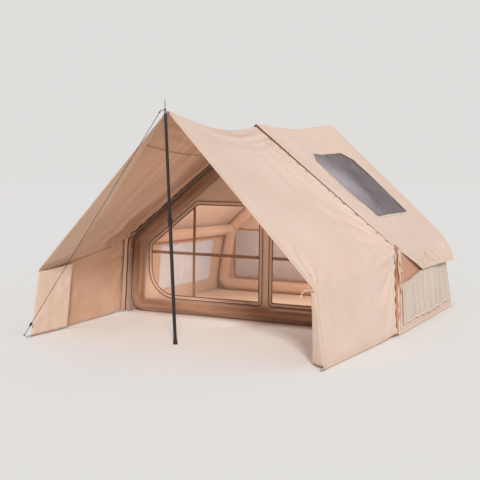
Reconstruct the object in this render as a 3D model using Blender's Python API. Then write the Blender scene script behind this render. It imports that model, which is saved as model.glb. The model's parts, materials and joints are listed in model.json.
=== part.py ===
# Inflatable cabin tent with a laced-on front awning, a steel awning pole and one guy rope.
# Metres. X runs across the tent, +Y to the rear, +Z up. The origin is under the middle of the floor.
import math

import bmesh
import bpy
from mathutils import Matrix, Vector

# Cabin
HALF_FLOOR = 1.50
FLOOR_DEPTH = 2.15
SHOULDER_HEIGHT = 0.82
FRONT_SHOULDER_INSET = 0.04
REAR_SHOULDER_INSET = 0.13
FRONT_RIDGE_HEIGHT = 1.985
REAR_RIDGE_HEIGHT = 2.075

# Awning
AWNING_DEPTH = 1.74
APEX_HEIGHT = 2.005
AWNING_REAR_DROP = 0.020
AWNING_EAVE_INSET = 0.14
AWNING_EAVE_HEIGHT = 0.615
AWNING_BASE_INSET = 0.09
AWNING_REAR_EAVE = 0.72
HEM_LIFT = 0.012
HEM_CLEARANCE = 0.0004

# Cloth, film and seams
CANVAS = 0.002
FILM = 0.0012
GAP = 0.0003
SEAM = 0.0008
RIDGE_SEAM = 0.0014
LAYER_STEP = 0.0060
LAYER_END_STEP = 0.0024
LACING_WIDTH = 0.030
LACING_HEIGHT = 0.004
LACING_SHARES = (0.3, 0.6)

# Relief of the cloth
RIDGE_SAG = 0.040
ROOF_BELLY = 0.020
AWNING_SAG = 0.085
AWNING_BELLY = 0.030
WALL_BELLY = 0.018
FLAP_BELLY = 0.020
FLAP_CRUMPLE = 0.008
GATHER_HEIGHT = 0.011
GATHER_REACH = 0.55
WING_CURL = 0.020
CURTAIN_FOLD = 0.004
TAPE_WAVE = 0.006

# Air beams
BEAM_DIAMETER = 0.14
EAVE_BEAM_DIAMETER = 0.13
SLEEVE = 0.0012
BLADDER = 0.0008
SLEEVE_SLIT = 0.003
SHOULDER_BEND = 0.12
RIDGE_BEND = 0.16
BASE_BEND = 0.10

# Valve on the rear beam
VALVE_HEIGHT = 0.36
VALVE_STEM_DIAMETER = 0.021
VALVE_HOLE_DIAMETER = 0.022
VALVE_STEM_DEPTH = 0.008
VALVE_FLANGE_DIAMETER = 0.046
VALVE_FLANGE_HEIGHT = 0.006
CAP_DIAMETER = 0.036
CAP_HEIGHT = 0.010

# Floor and the ring ears on its corners
SHEET = 0.003
FLOOR_MARGIN = 0.012
EAR_LENGTH = 0.030
EAR_HEIGHT = 0.027
EAR_ROOT = 0.030
TONGUE_WIDTH = 0.022
EAR_THICKNESS = 0.0026
EAR_HOLE_DIAMETER = 0.0068
EAR_HOLE_INSET = 0.0075
EAR_HOLE_HEIGHT = 0.0165
RING_DIAMETER = 0.036
RING_WIRE = 0.005

# Eave flaps
FLAP_HEIGHT = 0.54
FLAP_FRONT_STEP = 0.026
FLAP_REAR_STEP = 0.0956
FLAP_TOP_START = 0.05
FLAP_LOW_START = 0.92
FLAP_START = 0.0022

# Side walls, their windows and the gussets behind them
GUSSET_LOW_RIGHT = 0.40
GUSSET_LOW_LEFT = 0.68
GUSSET_HIGH = 0.790
WALL_TOP_REAR = 0.74
WALL_TOP_MIDDLE = 0.54
WALL_MIDDLE = 0.95
WALL_TOP_FRONT_RIGHT = 0.45
WALL_TOP_FRONT_LEFT = 0.72
WINDOW_FRONT = 0.62
WINDOW_REAR_MARGIN = 0.33
WINDOW_LOW = 0.14
WINDOW_HIGH_RIGHT = 0.485
WINDOW_HIGH_LEFT = 0.66

# Skylight in the right slope
SKYLIGHT_FRONT = 0.455
SKYLIGHT_REAR_MARGIN = 0.42
SKYLIGHT_CHAMFER = 0.20
SKYLIGHT_CHAMFER_DROP = 0.14
SKYLIGHT_TOP = 0.44
SKYLIGHT_BOTTOM = 1.46

# Rear wall window
REAR_WINDOW_MARGIN = 0.22
REAR_WINDOW_LOW = 0.16
REAR_WINDOW_HIGH = 0.775
REAR_WINDOW_CORNER = 0.05

# Front wall and its two door leaves
MULLION_CENTRE = 0.060
MULLION_WIDTH = 0.110
DOOR_SIDE_MARGIN = 0.16
DOOR_LOW = 0.165
DOOR_TOP = 1.178
DOOR_ROOF_MARGIN = 0.176
DOOR_CORNER = 0.30
DOOR_SMALL_CORNER = 0.035
DOOR_GAP = 0.0004
TRIM_INSET = 0.018
TRIM_WIDTH = 0.012
TRIM_HEIGHT = 0.006
ZIP_INSET = 0.018
ZIP_WIDTH = 0.010
ZIP_HEIGHT = 0.005
BAR_WIDTH = 0.026
BAR_HEIGHT = 0.003
BAR_LEVEL = 0.640
SLIDER_LENGTH = 0.030
SLIDER_WIDTH = 0.014
SLIDER_HEIGHT = 0.006
SLIDER_PULL = 0.035
SLIDER_START = 0.10
SLIDER_END_SHARE = 0.7

# Awning wings and the facing strips that run on up to the apex
WING_WIDTH_LEFT = 0.53
WING_WIDTH_RIGHT = 0.26
WING_TOP_MARGIN = 0.020
WING_FOOT_LEFT = 0.014
WING_FOOT_RIGHT = 0.030
WING_STEP = 0.0024
WING_OPEN_LEFT = 2.5
WING_OPEN_RIGHT = 43.0
FACING_WIDTH = 0.50
FACING_STEP = 0.0040
FACING_POINT = 0.05

# Pole
POLE_FOOT_Y = -2.465
POLE_FOOT_X = -0.108
POLE_FRONT_STEP = 0.030
FOOT_DIAMETER = 0.040
FOOT_HEIGHT = 0.018
LOWER_DIAMETER = 0.030
LOWER_BORE = 0.0262
UPPER_DIAMETER = 0.0255
UPPER_BORE = 0.0220
LOWER_START = 0.0215
LOWER_LENGTH = 1.06
UPPER_START = 0.80
COLLAR_DIAMETER = 0.042
COLLAR_BORE = 0.0262
COLLAR_LENGTH = 0.060
PIN_DIAMETER = 0.008
PIN_LENGTH = 0.115
PIN_HEAD = 0.012
POLE_TOP_STEP = 0.020

# Apex patch and grommet
PATCH_WIDTH = 0.060
PATCH_LENGTH = 0.062
PATCH_HEIGHT = 0.003
PATCH_DROP = 0.003
GROMMET_DIAMETER = 0.024
GROMMET_BORE = 0.0112
GROMMET_HEIGHT = 0.003

# Guy rope and its tensioner
ROPE_DIAMETER = 0.005
ROPE_TOP_X = -0.026
ROPE_TOP_STEP = 0.0655
ROPE_PEG_X = -1.450
ROPE_PEG_STEP = 0.052
ROPE_PEG_HEIGHT = 0.012
ROPE_POINT_STEP = 0.034
TENSIONER_PLACE = 0.140
TENSIONER_LENGTH = 0.044
TENSIONER_WIDTH = 0.018
TENSIONER_HEIGHT = 0.009
TENSIONER_BORE = 0.0062

# Short cords on the eave corners and the tie tape
CORD_DIAMETER = 0.006
CORD_START_LEFT = 0.0018
CORD_START_RIGHT = 0.0031
CORD_START_FLAP = 0.0008
CORD_POINT_STEP = 0.012
TIE_WIDTH = 0.020
TIE_LENGTH = 0.42
TIE_TOP = 0.800

# Shares of a length, counts and angles
GUSSET_SHARE = 0.97
BAR_SHARE = 0.59
SAG_PLACE_SHARE = 1.30
RIDGE_SHARE = 2.0
HALF_SHARE = 0.5
FLAP_FRONT_SHARE = 0.40
TINY_SHARE = 0.02
BEAM_SIDES = 12
BEND_STEPS = 3
ROUND_SIDES = 24
RING_STEPS = 14
RING_SIDES = 6
EAR_SIDES = 12
CURTAIN_FOLDS = 9
TAPE_WAVES = 2.5
CURTAIN_COLUMNS = 40
GATHER_COUNT = 11.0
RING_TILT = 21.0

# Derived sizes
FRONT_SHOULDER_X = HALF_FLOOR - FRONT_SHOULDER_INSET
REAR_SHOULDER_X = HALF_FLOOR - REAR_SHOULDER_INSET
REAR_WINDOW_SPAN = 2 * (HALF_FLOOR - REAR_WINDOW_MARGIN)
FRONT_Y = -FLOOR_DEPTH / 2
REAR_Y = FLOOR_DEPTH / 2
BEAM_RADIUS = BEAM_DIAMETER / 2
BEAM_SETBACK = BEAM_RADIUS + CANVAS / 2 + GAP
FRONT_BEAM_Y = FRONT_Y + BEAM_RADIUS
REAR_BEAM_Y = REAR_Y - CANVAS - GAP - BEAM_RADIUS
FRONT_WALL_Y = FRONT_Y + BEAM_DIAMETER + GAP + CANVAS / 2
REAR_WALL_Y = REAR_Y - CANVAS / 2
WALL_FACE_Y = FRONT_WALL_Y - CANVAS / 2
AWNING_REAR_Y = FRONT_Y - 2 * GAP - LACING_WIDTH
AWNING_FRONT_Y = FRONT_Y - AWNING_DEPTH
AWNING_REAR_HEIGHT = FRONT_RIDGE_HEIGHT - AWNING_REAR_DROP
AWNING_EAVE_X = FRONT_SHOULDER_X - AWNING_EAVE_INSET
AWNING_HEM_X = HALF_FLOOR - AWNING_BASE_INSET
DOOR_OUTER = FRONT_SHOULDER_X - DOOR_SIDE_MARGIN
SKYLIGHT_REAR = FLOOR_DEPTH - SKYLIGHT_REAR_MARGIN
WINDOW_REAR = FLOOR_DEPTH - WINDOW_REAR_MARGIN
FLOOR_TOP = SHEET + GAP

CANVAS_COLOUR = (0.80, 0.58, 0.43)
TRIM_COLOUR = (0.20, 0.075, 0.045)


def clear_scene():
    for item in list(bpy.data.objects):
        bpy.data.objects.remove(item, do_unlink=True)


def paint(name, colour, roughness, metallic=0.0, alpha=1.0):
    material = bpy.data.materials.new(name)
    material.use_nodes = True
    shader = material.node_tree.nodes["Principled BSDF"]
    shader.inputs["Base Color"].default_value = (*colour, 1.0)
    shader.inputs["Roughness"].default_value = roughness
    shader.inputs["Metallic"].default_value = metallic
    shader.inputs["Alpha"].default_value = alpha
    return material


clear_scene()
CANVAS_PAINT = paint("canvas", CANVAS_COLOUR, 0.9)
LINER_PAINT = paint("liner", (0.52, 0.29, 0.18), 0.9)
SLEEVE_PAINT = paint("sleeve", (0.58, 0.33, 0.22), 0.85)
BLADDER_PAINT = paint("bladder", (0.75, 0.76, 0.74), 0.3)
FLOOR_PAINT = paint("floor_sheet", (0.72, 0.48, 0.34), 0.7)
FILM_PAINT = paint("window_film", (0.62, 0.58, 0.60), 0.25, alpha=0.4)
SKYLIGHT_PAINT = paint("skylight_mesh", (0.17, 0.15, 0.17), 0.5, alpha=0.6)
TRIM_PAINT = paint("trim", TRIM_COLOUR, 0.75)
STEEL_PAINT = paint("black_steel", (0.012, 0.012, 0.013), 0.4, 0.6)
BRIGHT_PAINT = paint("bright_metal", (0.62, 0.62, 0.60), 0.3, 1.0)
RUBBER_PAINT = paint("rubber", (0.02, 0.02, 0.02), 0.8)
PLASTIC_PAINT = paint("plastic", (0.05, 0.045, 0.04), 0.5)
ROPE_PAINT = paint("rope", (0.05, 0.03, 0.025), 0.8)
CORD_PAINT = paint("white_cord", (0.75, 0.72, 0.66), 0.8)


# Building blocks
def lerp(low, high, share):
    return low + (high - low) * share


def finish(name, bm, material, smooth=False, origin=None):
    """Turns a mesh into a named object whose own origin is where it pivots."""
    if origin is not None:
        bmesh.ops.translate(bm, verts=bm.verts, vec=-origin)
    mesh = bpy.data.meshes.new(name)
    bm.to_mesh(mesh)
    bm.free()
    mesh.materials.append(material)
    if smooth:
        mesh.shade_smooth()
    item = bpy.data.objects.new(name, mesh)
    if origin is not None:
        item.location = origin
    bpy.context.scene.collection.objects.link(item)
    return item


def skin(bm, rings, closed=False, inside_out=False):
    """Joins rings of points with faces, and caps both ends unless the run is closed."""
    made = [[bm.verts.new(point) for point in ring] for ring in rings]
    count = len(made[0])
    steps = len(made) if closed else len(made) - 1
    faces = []
    for step in range(steps):
        near = made[step]
        far = made[(step + 1) % len(made)]
        for side in range(count):
            after = (side + 1) % count
            faces.append(bm.faces.new((near[side], near[after], far[after], far[side])))
    if not closed:
        faces.append(bm.faces.new(made[0]))
        faces.append(bm.faces.new(made[-1]))
    bmesh.ops.recalc_face_normals(bm, faces=faces)
    if inside_out:
        bmesh.ops.reverse_faces(bm, faces=faces)


def circle(radius, sides, start=0.0):
    return [
        (
            radius * math.cos(start + math.tau * side / sides),
            radius * math.sin(start + math.tau * side / sides),
        )
        for side in range(sides)
    ]


def rectangle(width, height):
    return [
        (-width / 2, -height / 2),
        (width / 2, -height / 2),
        (width / 2, height / 2),
        (-width / 2, height / 2),
    ]


def lines_meet(first, first_way, second, second_way):
    """The point where two lines of a plane cross."""
    area = first_way.x * second_way.y - first_way.y * second_way.x
    away = second - first
    share = (away.x * second_way.y - away.y * second_way.x) / area
    return first + first_way * share


def inset_outline(points, distances):
    """A closed outline, drawn anticlockwise, moved inwards by one distance for each side."""
    count = len(points)
    moved = []
    for place in range(count):
        start, end = points[place], points[(place + 1) % count]
        way = (end - start).normalized()
        moved.append((start + Vector((-way.y, way.x)) * distances[place], way))
    return [
        lines_meet(*moved[place - 1], *moved[place])
        for place in range(count)
    ]


def rounded(points, radii, steps=BEND_STEPS):
    """A closed outline with each corner turned into an arc."""
    outline = []
    count = len(points)
    for place, (corner, radius) in enumerate(zip(points, radii)):
        back = (points[place - 1] - corner).normalized()
        ahead = (points[(place + 1) % count] - corner).normalized()
        half = back.angle(ahead) / 2
        reach = radius / math.tan(half)
        middle = corner + (back + ahead).normalized() * (radius / math.sin(half))
        start = corner + back * reach - middle
        end = corner + ahead * reach - middle
        for step in range(steps + 1):
            mixed = start.slerp(end, step / steps) if start.length > 0 else start
            outline.append(middle + mixed.normalized() * radius)
    return outline


def frames_along(outline, closed=True):
    """For each point of a path in a plane: the point and its side vector, longer where it turns."""
    frames = []
    count = len(outline)
    for place, point in enumerate(outline):
        back = outline[place - 1] if closed or place > 0 else None
        ahead = outline[(place + 1) % count] if closed or place < count - 1 else None
        ways = []
        if back is not None:
            ways.append((point - back).normalized())
        if ahead is not None:
            ways.append((ahead - point).normalized())
        way = sum(ways, Vector((0, 0))).normalized()
        side = Vector((-way.y, way.x))
        stretch = 1 / max(way.dot(ways[0]), 0.2)
        frames.append((point, side * stretch))
    return frames


def upright_rings(outline, y, section, closed=True):
    """Rings of a section along a path in the XZ plane. Its first number is sideways, its second along Y."""
    return [
        [
            Vector((point.x + side.x * a, y + b, point.y + side.y * a))
            for a, b in section
        ]
        for point, side in frames_along(outline, closed)
    ]


def straight_rings(start, end, section, across, stations=(0.0, 1.0)):
    """Rings of a section along a straight line."""
    way = (end - start).normalized()
    first = (across - way * across.dot(way)).normalized()
    second = way.cross(first)
    return [
        [start.lerp(end, station) + first * a + second * b for a, b in section]
        for station in stations
    ]


def turned_rings(centre, axis, section, sides=ROUND_SIDES):
    """Rings of a section of (radius, distance along the axis), turned all the way round."""
    axis = axis.normalized()
    first = axis.orthogonal().normalized()
    second = axis.cross(first)
    rings = []
    for side in range(sides):
        angle = math.tau * side / sides
        out = first * math.cos(angle) + second * math.sin(angle)
        rings.append([centre + out * radius + axis * far for radius, far in section])
    return rings


def tube_object(name, start, end, outer, bore, material, origin=None):
    """A straight round tube with a bore."""
    length = (end - start).length
    section = [(bore / 2, 0), (outer / 2, 0), (outer / 2, length), (bore / 2, length)]
    bm = bmesh.new()
    skin(bm, turned_rings(start, end - start, section), closed=True)
    return finish(name, bm, material, True, origin)


def stepped_object(name, start, axis, steps, material, origin=None, sides=ROUND_SIDES):
    """A solid round piece from (distance, diameter) pairs."""
    axis = axis.normalized()
    first = axis.orthogonal().normalized()
    second = axis.cross(first)
    bm = bmesh.new()
    rings = [
        [
            start + axis * far + first * a + second * b
            for a, b in circle(diameter / 2, sides)
        ]
        for far, diameter in steps
    ]
    skin(bm, rings)
    return finish(name, bm, material, True, origin)


def box_rings(centre, along, across, length, width, height):
    """Two rings that make a box: length along, width across, height on the third way."""
    along = along.normalized()
    return straight_rings(
        centre - along * (length / 2),
        centre + along * (length / 2),
        rectangle(width, height),
        across,
    )


def cut(item, cutter, operation="DIFFERENCE"):
    cutter.hide_render = True
    cutter.display_type = "WIRE"
    step = item.modifiers.new(cutter.name, "BOOLEAN")
    step.operation = operation
    step.solver = "EXACT"
    step.object = cutter


def cloth(
    name, surface, across, along, thickness, material, keep=None, splits=(), insets=None, origin=None
):
    """A sheet of cloth: a grid on surface(u, v), without the faces keep refuses, made solid."""
    columns, rows = len(across) - 1, len(along) - 1
    bm = bmesh.new()
    bmesh.ops.create_grid(bm, x_segments=columns, y_segments=rows, size=1)
    place = {}
    for vert in bm.verts:
        place[vert] = (round((vert.co.x + 1) / 2 * columns), round((vert.co.y + 1) / 2 * rows))
    at = {cell: vert for vert, cell in place.items()}
    for vert, (column, row) in place.items():
        vert.co = surface(across[column], along[row])
    if insets:
        pull_edges(at, columns, rows, insets)
    if splits:
        bmesh.ops.connect_verts(bm, verts=[at[cell] for pair in splits for cell in pair])
    if keep:
        gone = []
        for face in bm.faces:
            middle = sum((Vector(place[vert]) for vert in face.verts), Vector((0, 0))) / len(face.verts)
            if not keep(middle.x, middle.y):
                gone.append(face)
        bmesh.ops.delete(bm, geom=gone, context="FACES")
    item = finish(name, bm, material, True, origin)
    solid = item.modifiers.new("thickness", "SOLIDIFY")
    solid.thickness = thickness
    solid.offset = 0
    return item


def pull_edges(at, columns, rows, insets):
    """Moves the four edges of a grid in along the cloth: low u, high u, low v, high v."""
    low_u, high_u, low_v, high_v = insets
    moves = []
    for row in range(rows + 1):
        moves.append((at[0, row], at[1, row], low_u))
        moves.append((at[columns, row], at[columns - 1, row], high_u))
    for column in range(columns + 1):
        moves.append((at[column, 0], at[column, 1], low_v))
        moves.append((at[column, rows], at[column, rows - 1], high_v))
    ways = [(vert, (other.co - vert.co).normalized() * far) for vert, other, far in moves]
    for vert, move in ways:
        vert.co += move


def evenly(count, low=0.0, high=1.0):
    return [lerp(low, high, step / count) for step in range(count + 1)]


def plate(name, outline, holes, y, thickness, material, origin=None):
    """A flat upright panel in the XZ plane, with holes."""
    bm = bmesh.new()
    edges = []
    for loop in [outline, *holes]:
        verts = [bm.verts.new((point.x, y - thickness / 2, point.y)) for point in loop]
        edges += [bm.edges.new((verts[place - 1], verts[place])) for place in range(len(verts))]
    bmesh.ops.triangle_fill(bm, edges=edges, use_beauty=True)
    front = bmesh.ops.extrude_face_region(bm, geom=bm.faces[:])
    moved = [item for item in front["geom"] if isinstance(item, bmesh.types.BMVert)]
    bmesh.ops.translate(bm, verts=moved, vec=(0, thickness, 0))
    bmesh.ops.recalc_face_normals(bm, faces=bm.faces[:])
    return finish(name, bm, material, False, origin)


# The cabin's section: its ground corner, shoulder and ridge, which change evenly from front to rear
def station(y):
    share = (y - FRONT_Y - BEAM_DIAMETER) / (FLOOR_DEPTH - 2 * BEAM_DIAMETER)
    return min(max(share, 0.0), 1.0)


def cabin_sag(y):
    return RIDGE_SAG * math.sin(math.pi * station(y))


def ridge_point(y):
    height = lerp(FRONT_RIDGE_HEIGHT, REAR_RIDGE_HEIGHT, station(y))
    return Vector((0, y, height))


def shoulder_point(y):
    return Vector((lerp(FRONT_SHOULDER_X, REAR_SHOULDER_X, station(y)), y, SHOULDER_HEIGHT))


def side_point(y, height):
    shoulder = shoulder_point(y)
    return Vector((lerp(HALF_FLOOR, shoulder.x, height / SHOULDER_HEIGHT), y, height))


def mirrored(point, side):
    return Vector((point.x * side, point.y, point.z))


def section_outline(y):
    """The cabin's outline at one station, anticlockwise seen with X to the right and Z up."""
    shoulder, ridge = shoulder_point(y), ridge_point(y)
    return [
        Vector((-HALF_FLOOR, 0)),
        Vector((HALF_FLOOR, 0)),
        Vector((shoulder.x, shoulder.z)),
        Vector((0, ridge.z)),
        Vector((-shoulder.x, shoulder.z)),
    ]


def beam_path(y):
    base = FLOOR_TOP + BEAM_RADIUS
    inner = inset_outline(section_outline(y), [base] + [BEAM_SETBACK] * 4)
    radii = [BASE_BEND, BASE_BEND, SHOULDER_BEND, RIDGE_BEND, SHOULDER_BEND]
    return inner, rounded(inner, radii)


# Air beams: a cloth sleeve with a slit along its inner side, and an airtight bladder inside it
def arc_angles(radius, slit):
    start = math.asin(slit / 2 / radius)
    return [lerp(start, math.tau - start, step / BEAM_SIDES) for step in range(BEAM_SIDES + 1)]


def sleeve_section(radius, thickness):
    angles = arc_angles(radius, SLEEVE_SLIT)
    outer = [(radius * math.cos(angle), radius * math.sin(angle)) for angle in angles]
    inner_radius = radius - thickness
    inner = [(inner_radius * math.cos(angle), inner_radius * math.sin(angle)) for angle in angles]
    return outer + inner[::-1]


def ring_section(radius, angles):
    return [(radius * math.cos(angle), radius * math.sin(angle)) for angle in angles]


def arch_beam(name, y, port_centre, port_way):
    """One pentagon of air beam: the sleeve and the bladder, both with a port for the valve."""
    _, path = beam_path(y)
    bm = bmesh.new()
    skin(bm, upright_rings(path, y, sleeve_section(BEAM_RADIUS, SLEEVE)), closed=True)
    sleeve = finish(f"{name}_beam_sleeve", bm, SLEEVE_PAINT, True)
    angles = arc_angles(BEAM_RADIUS, SLEEVE_SLIT)
    outer = BEAM_RADIUS - SLEEVE - GAP
    bm = bmesh.new()
    skin(bm, upright_rings(path, y, ring_section(outer, angles)), closed=True)
    inner_rings = upright_rings(path, y, ring_section(outer - BLADDER, angles))
    skin(bm, inner_rings, closed=True, inside_out=True)
    bladder = finish(f"{name}_beam_bladder", bm, BLADDER_PAINT, True)
    port = stepped_object(
        f"{name}_port_cutter",
        port_centre,
        port_way,
        [(0, VALVE_HOLE_DIAMETER), (BEAM_DIAMETER, VALVE_HOLE_DIAMETER)],
        BLADDER_PAINT,
    )
    cut(bladder, port)
    return sleeve, bladder, port


rear_corners, _ = beam_path(REAR_Y)
rear_leg = rear_corners[1].lerp(rear_corners[2], VALVE_HEIGHT / SHOULDER_HEIGHT)
VALVE_CENTRE = Vector((rear_leg.x, REAR_BEAM_Y - BEAM_RADIUS, rear_leg.y))
INWARD = Vector((0, 1, 0))
rear_sleeve, _, rear_port = arch_beam(
    "rear", REAR_BEAM_Y, Vector((rear_leg.x, REAR_BEAM_Y - BEAM_DIAMETER, rear_leg.y)), INWARD
)
cut(rear_sleeve, rear_port)
front_corners, _ = beam_path(FRONT_Y)
front_leg = front_corners[1].lerp(front_corners[2], VALVE_HEIGHT / SHOULDER_HEIGHT)
arch_beam("front", FRONT_BEAM_Y, Vector((front_leg.x, FRONT_BEAM_Y, front_leg.y)), INWARD)


def bend_middle(corner, before, after, radius):
    """Where the middle of a rounded corner lies."""
    back = (before - corner).normalized()
    ahead = (after - corner).normalized()
    half = back.angle(ahead) / 2
    return corner + (back + ahead).normalized() * (radius / math.sin(half) - radius)


def eave_beam(side_name, side):
    front = bend_middle(front_corners[2], front_corners[1], front_corners[3], SHOULDER_BEND)
    rear = bend_middle(rear_corners[2], rear_corners[1], rear_corners[3], SHOULDER_BEND)
    front_end = Vector((front.x * side, FRONT_WALL_Y + CANVAS / 2 + SEAM, front.y))
    rear_end = Vector((rear.x * side, REAR_BEAM_Y - BEAM_RADIUS - SEAM, rear.y))
    section = sleeve_section(EAVE_BEAM_DIAMETER / 2, SLEEVE)
    rings = []
    for share in evenly(4):
        centre = front_end.lerp(rear_end, share)
        rings.append([centre + Vector((-side * a, 0, b)) for a, b in section])
    bm = bmesh.new()
    skin(bm, rings)
    finish(f"eave_beam_{side_name}", bm, SLEEVE_PAINT, True)


for side_name, side in (("left", -1), ("right", 1)):
    eave_beam(side_name, side)

# The valve on the rear beam, and its cap
OUT = Vector((0, -1, 0))
stepped_object(
    "inflation_valve",
    VALVE_CENTRE - OUT * VALVE_STEM_DEPTH,
    OUT,
    [
        (0, VALVE_STEM_DIAMETER),
        (VALVE_STEM_DEPTH + GAP, VALVE_STEM_DIAMETER),
        (VALVE_STEM_DEPTH + GAP, VALVE_FLANGE_DIAMETER),
        (VALVE_STEM_DEPTH + GAP + VALVE_FLANGE_HEIGHT, VALVE_FLANGE_DIAMETER),
    ],
    PLASTIC_PAINT,
)
CAP_BASE = VALVE_CENTRE + OUT * (VALVE_FLANGE_HEIGHT + 2 * GAP)
stepped_object(
    "valve_cap",
    CAP_BASE,
    OUT,
    [(0, CAP_DIAMETER), (CAP_HEIGHT, CAP_DIAMETER)],
    PLASTIC_PAINT,
    CAP_BASE,
    EAR_SIDES,
)


# Ring ears and rings: an upright ear with a hole, and a ring that hangs in the hole to the ground
def add_ear(item, name, corner, way, root):
    """Joins an ear to a sheet. The way points out of the tent, and the root reaches into the sheet."""
    up = Vector((0, 0, 1))
    length = root + EAR_LENGTH
    middle = corner + way * (EAR_LENGTH - length / 2) + up * (EAR_HEIGHT / 2 + GAP)
    across = way.cross(up)
    bm = bmesh.new()
    skin(bm, box_rings(middle, way, across, length, EAR_THICKNESS, EAR_HEIGHT))
    ear = finish(name, bm, CANVAS_PAINT)
    hole = corner + way * (EAR_LENGTH - EAR_HOLE_INSET) + up * EAR_HOLE_HEIGHT
    drill = stepped_object(
        f"{name}_drill",
        hole - across * EAR_THICKNESS,
        across,
        [(0, EAR_HOLE_DIAMETER), (2 * EAR_THICKNESS, EAR_HOLE_DIAMETER)],
        CANVAS_PAINT,
        None,
        EAR_SIDES,
    )
    cut(ear, drill)
    cut(item, ear, "UNION")
    return hole, across


def ground_ring(name, hole, way, across):
    tilt = math.radians(RING_TILT)
    slope = way * math.cos(tilt) - Vector((0, 0, 1)) * math.sin(tilt)
    centre = hole + slope * (RING_DIAMETER / 2)
    lift = slope.cross(across).normalized()
    bm = bmesh.new()
    rings = []
    for step in range(RING_STEPS):
        angle = math.tau * step / RING_STEPS
        out = slope * math.cos(angle) + across * math.sin(angle)
        rings.append([
            centre + out * (RING_DIAMETER / 2 + a) + lift * b
            for a, b in circle(RING_WIRE / 2, RING_SIDES)
        ])
    skin(bm, rings, closed=True)
    finish(name, bm, BRIGHT_PAINT, True, hole)


# Floor
bm = bmesh.new()
floor_middle = Vector((0, 0, SHEET / 2))
floor_width = 2 * (HALF_FLOOR - FLOOR_MARGIN)
skin(bm, box_rings(floor_middle, Vector((0, 1, 0)), Vector((1, 0, 0)), FLOOR_DEPTH, floor_width, SHEET))
groundsheet = finish("groundsheet", bm, FLOOR_PAINT)
CORNER_WAYS = {
    "front_left": (-1, -1),
    "front_right": (1, -1),
    "rear_left": (-1, 1),
    "rear_right": (1, 1),
}
for corner_name, (x_way, y_way) in CORNER_WAYS.items():
    way = Vector((0, y_way, 0))
    corner = Vector((x_way * (floor_width / 2 - EAR_ROOT), y_way * FLOOR_DEPTH / 2, 0))
    tongue_middle = corner + Vector((0, 0, SHEET / 2))
    bm = bmesh.new()
    skin(bm, box_rings(tongue_middle, way, Vector((1, 0, 0)), 2 * EAR_LENGTH, TONGUE_WIDTH, SHEET))
    cut(groundsheet, finish(f"tongue_{corner_name}", bm, FLOOR_PAINT), "UNION")
    hole, across = add_ear(groundsheet, f"ear_{corner_name}", corner, way, -2 * SEAM)
    ground_ring(f"corner_ring_{corner_name}", hole, way, across)


# Main roof: each slope runs from the ridge to its shoulder and sags between the two arches
def roof_point(u, y, side):
    ridge, shoulder = ridge_point(y), shoulder_point(y)
    point = ridge.lerp(shoulder, u)
    point.z -= cabin_sag(y) * (1 - u) ** RIDGE_SHARE
    point.z -= ROOF_BELLY * math.sin(math.pi * station(y)) * math.sin(math.pi * u) * (1 - u)
    return mirrored(point, side)


SLOPE_LENGTH = (shoulder_point(0) - ridge_point(0)).length
SKY_FRONT_Y = FRONT_Y + SKYLIGHT_FRONT
SKY_REAR_Y = FRONT_Y + SKYLIGHT_REAR
ROOF_YS = [
    FRONT_Y,
    FRONT_Y + BEAM_DIAMETER,
    SKY_FRONT_Y - SKYLIGHT_CHAMFER,
    SKY_FRONT_Y,
    *evenly(4, SKY_FRONT_Y + SKYLIGHT_CHAMFER, SKY_REAR_Y - SKYLIGHT_CHAMFER),
    SKY_REAR_Y,
    REAR_Y - BEAM_DIAMETER,
    REAR_Y,
]
SKY_TOP_SHARE = SKYLIGHT_TOP / SLOPE_LENGTH
SKY_CHAMFER_SHARE = (SKYLIGHT_TOP + SKYLIGHT_CHAMFER_DROP) / SLOPE_LENGTH
SKY_BOTTOM_SHARE = SKYLIGHT_BOTTOM / SLOPE_LENGTH
ROOF_US = (
    evenly(2, 0.0, SKY_TOP_SHARE)
    + [SKY_CHAMFER_SHARE]
    + evenly(4, SKY_CHAMFER_SHARE, SKY_BOTTOM_SHARE)[1:]
    + evenly(3, SKY_BOTTOM_SHARE, 1.0)[1:]
)
SKY_U = (2, 7)
SKY_Y = (3, 9)


def in_skylight(column, row):
    """Whether a place on the roof's grid is in the skylight, whose two upper corners are cut off."""
    down = column - SKY_U[0]
    inside = 0 < down and column < SKY_U[1] and SKY_Y[0] < row < SKY_Y[1]
    return inside and down + row - SKY_Y[0] > 1 and down + SKY_Y[1] - row > 1


SKY_SPLITS = [
    ((SKY_U[0] + 1, SKY_Y[0]), (SKY_U[0], SKY_Y[0] + 1)),
    ((SKY_U[0], SKY_Y[1] - 1), (SKY_U[0] + 1, SKY_Y[1])),
]


def main_roof(side_name, side):
    options = {}
    if side > 0:
        options = {"splits": SKY_SPLITS, "keep": lambda column, row: not in_skylight(column, row)}
    cloth(
        f"main_roof_{side_name}",
        lambda u, y: roof_point(u, y, side),
        ROOF_US,
        ROOF_YS,
        CANVAS,
        CANVAS_PAINT,
        insets=(RIDGE_SEAM, 0, 0, 0),
        **options,
    )


for side_name, side in (("left", -1), ("right", 1)):
    main_roof(side_name, side)


def skylight_film():
    """The clear panel in the skylight: the roof's own grid there, shrunk by a seam all round."""
    margin = SEAM / SLOPE_LENGTH
    us = ROOF_US[SKY_U[0] : SKY_U[1] + 1]
    us = [us[0] + margin, us[1] + margin, *us[2:-1], us[-1] - margin]
    ys = ROOF_YS[SKY_Y[0] : SKY_Y[1] + 1]
    ys = [ys[0] + SEAM, ys[1] + SEAM, *ys[2:-2], ys[-2] - SEAM, ys[-1] - SEAM]
    rows = len(ys) - 1
    cloth(
        "skylight_window",
        lambda u, y: roof_point(u, y, 1),
        us,
        ys,
        FILM,
        SKYLIGHT_PAINT,
        keep=lambda column, row: in_skylight(column + SKY_U[0], row + SKY_Y[0]),
        splits=[((1, 0), (0, 1)), ((0, rows - 1), (1, rows))],
    )


skylight_film()


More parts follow.
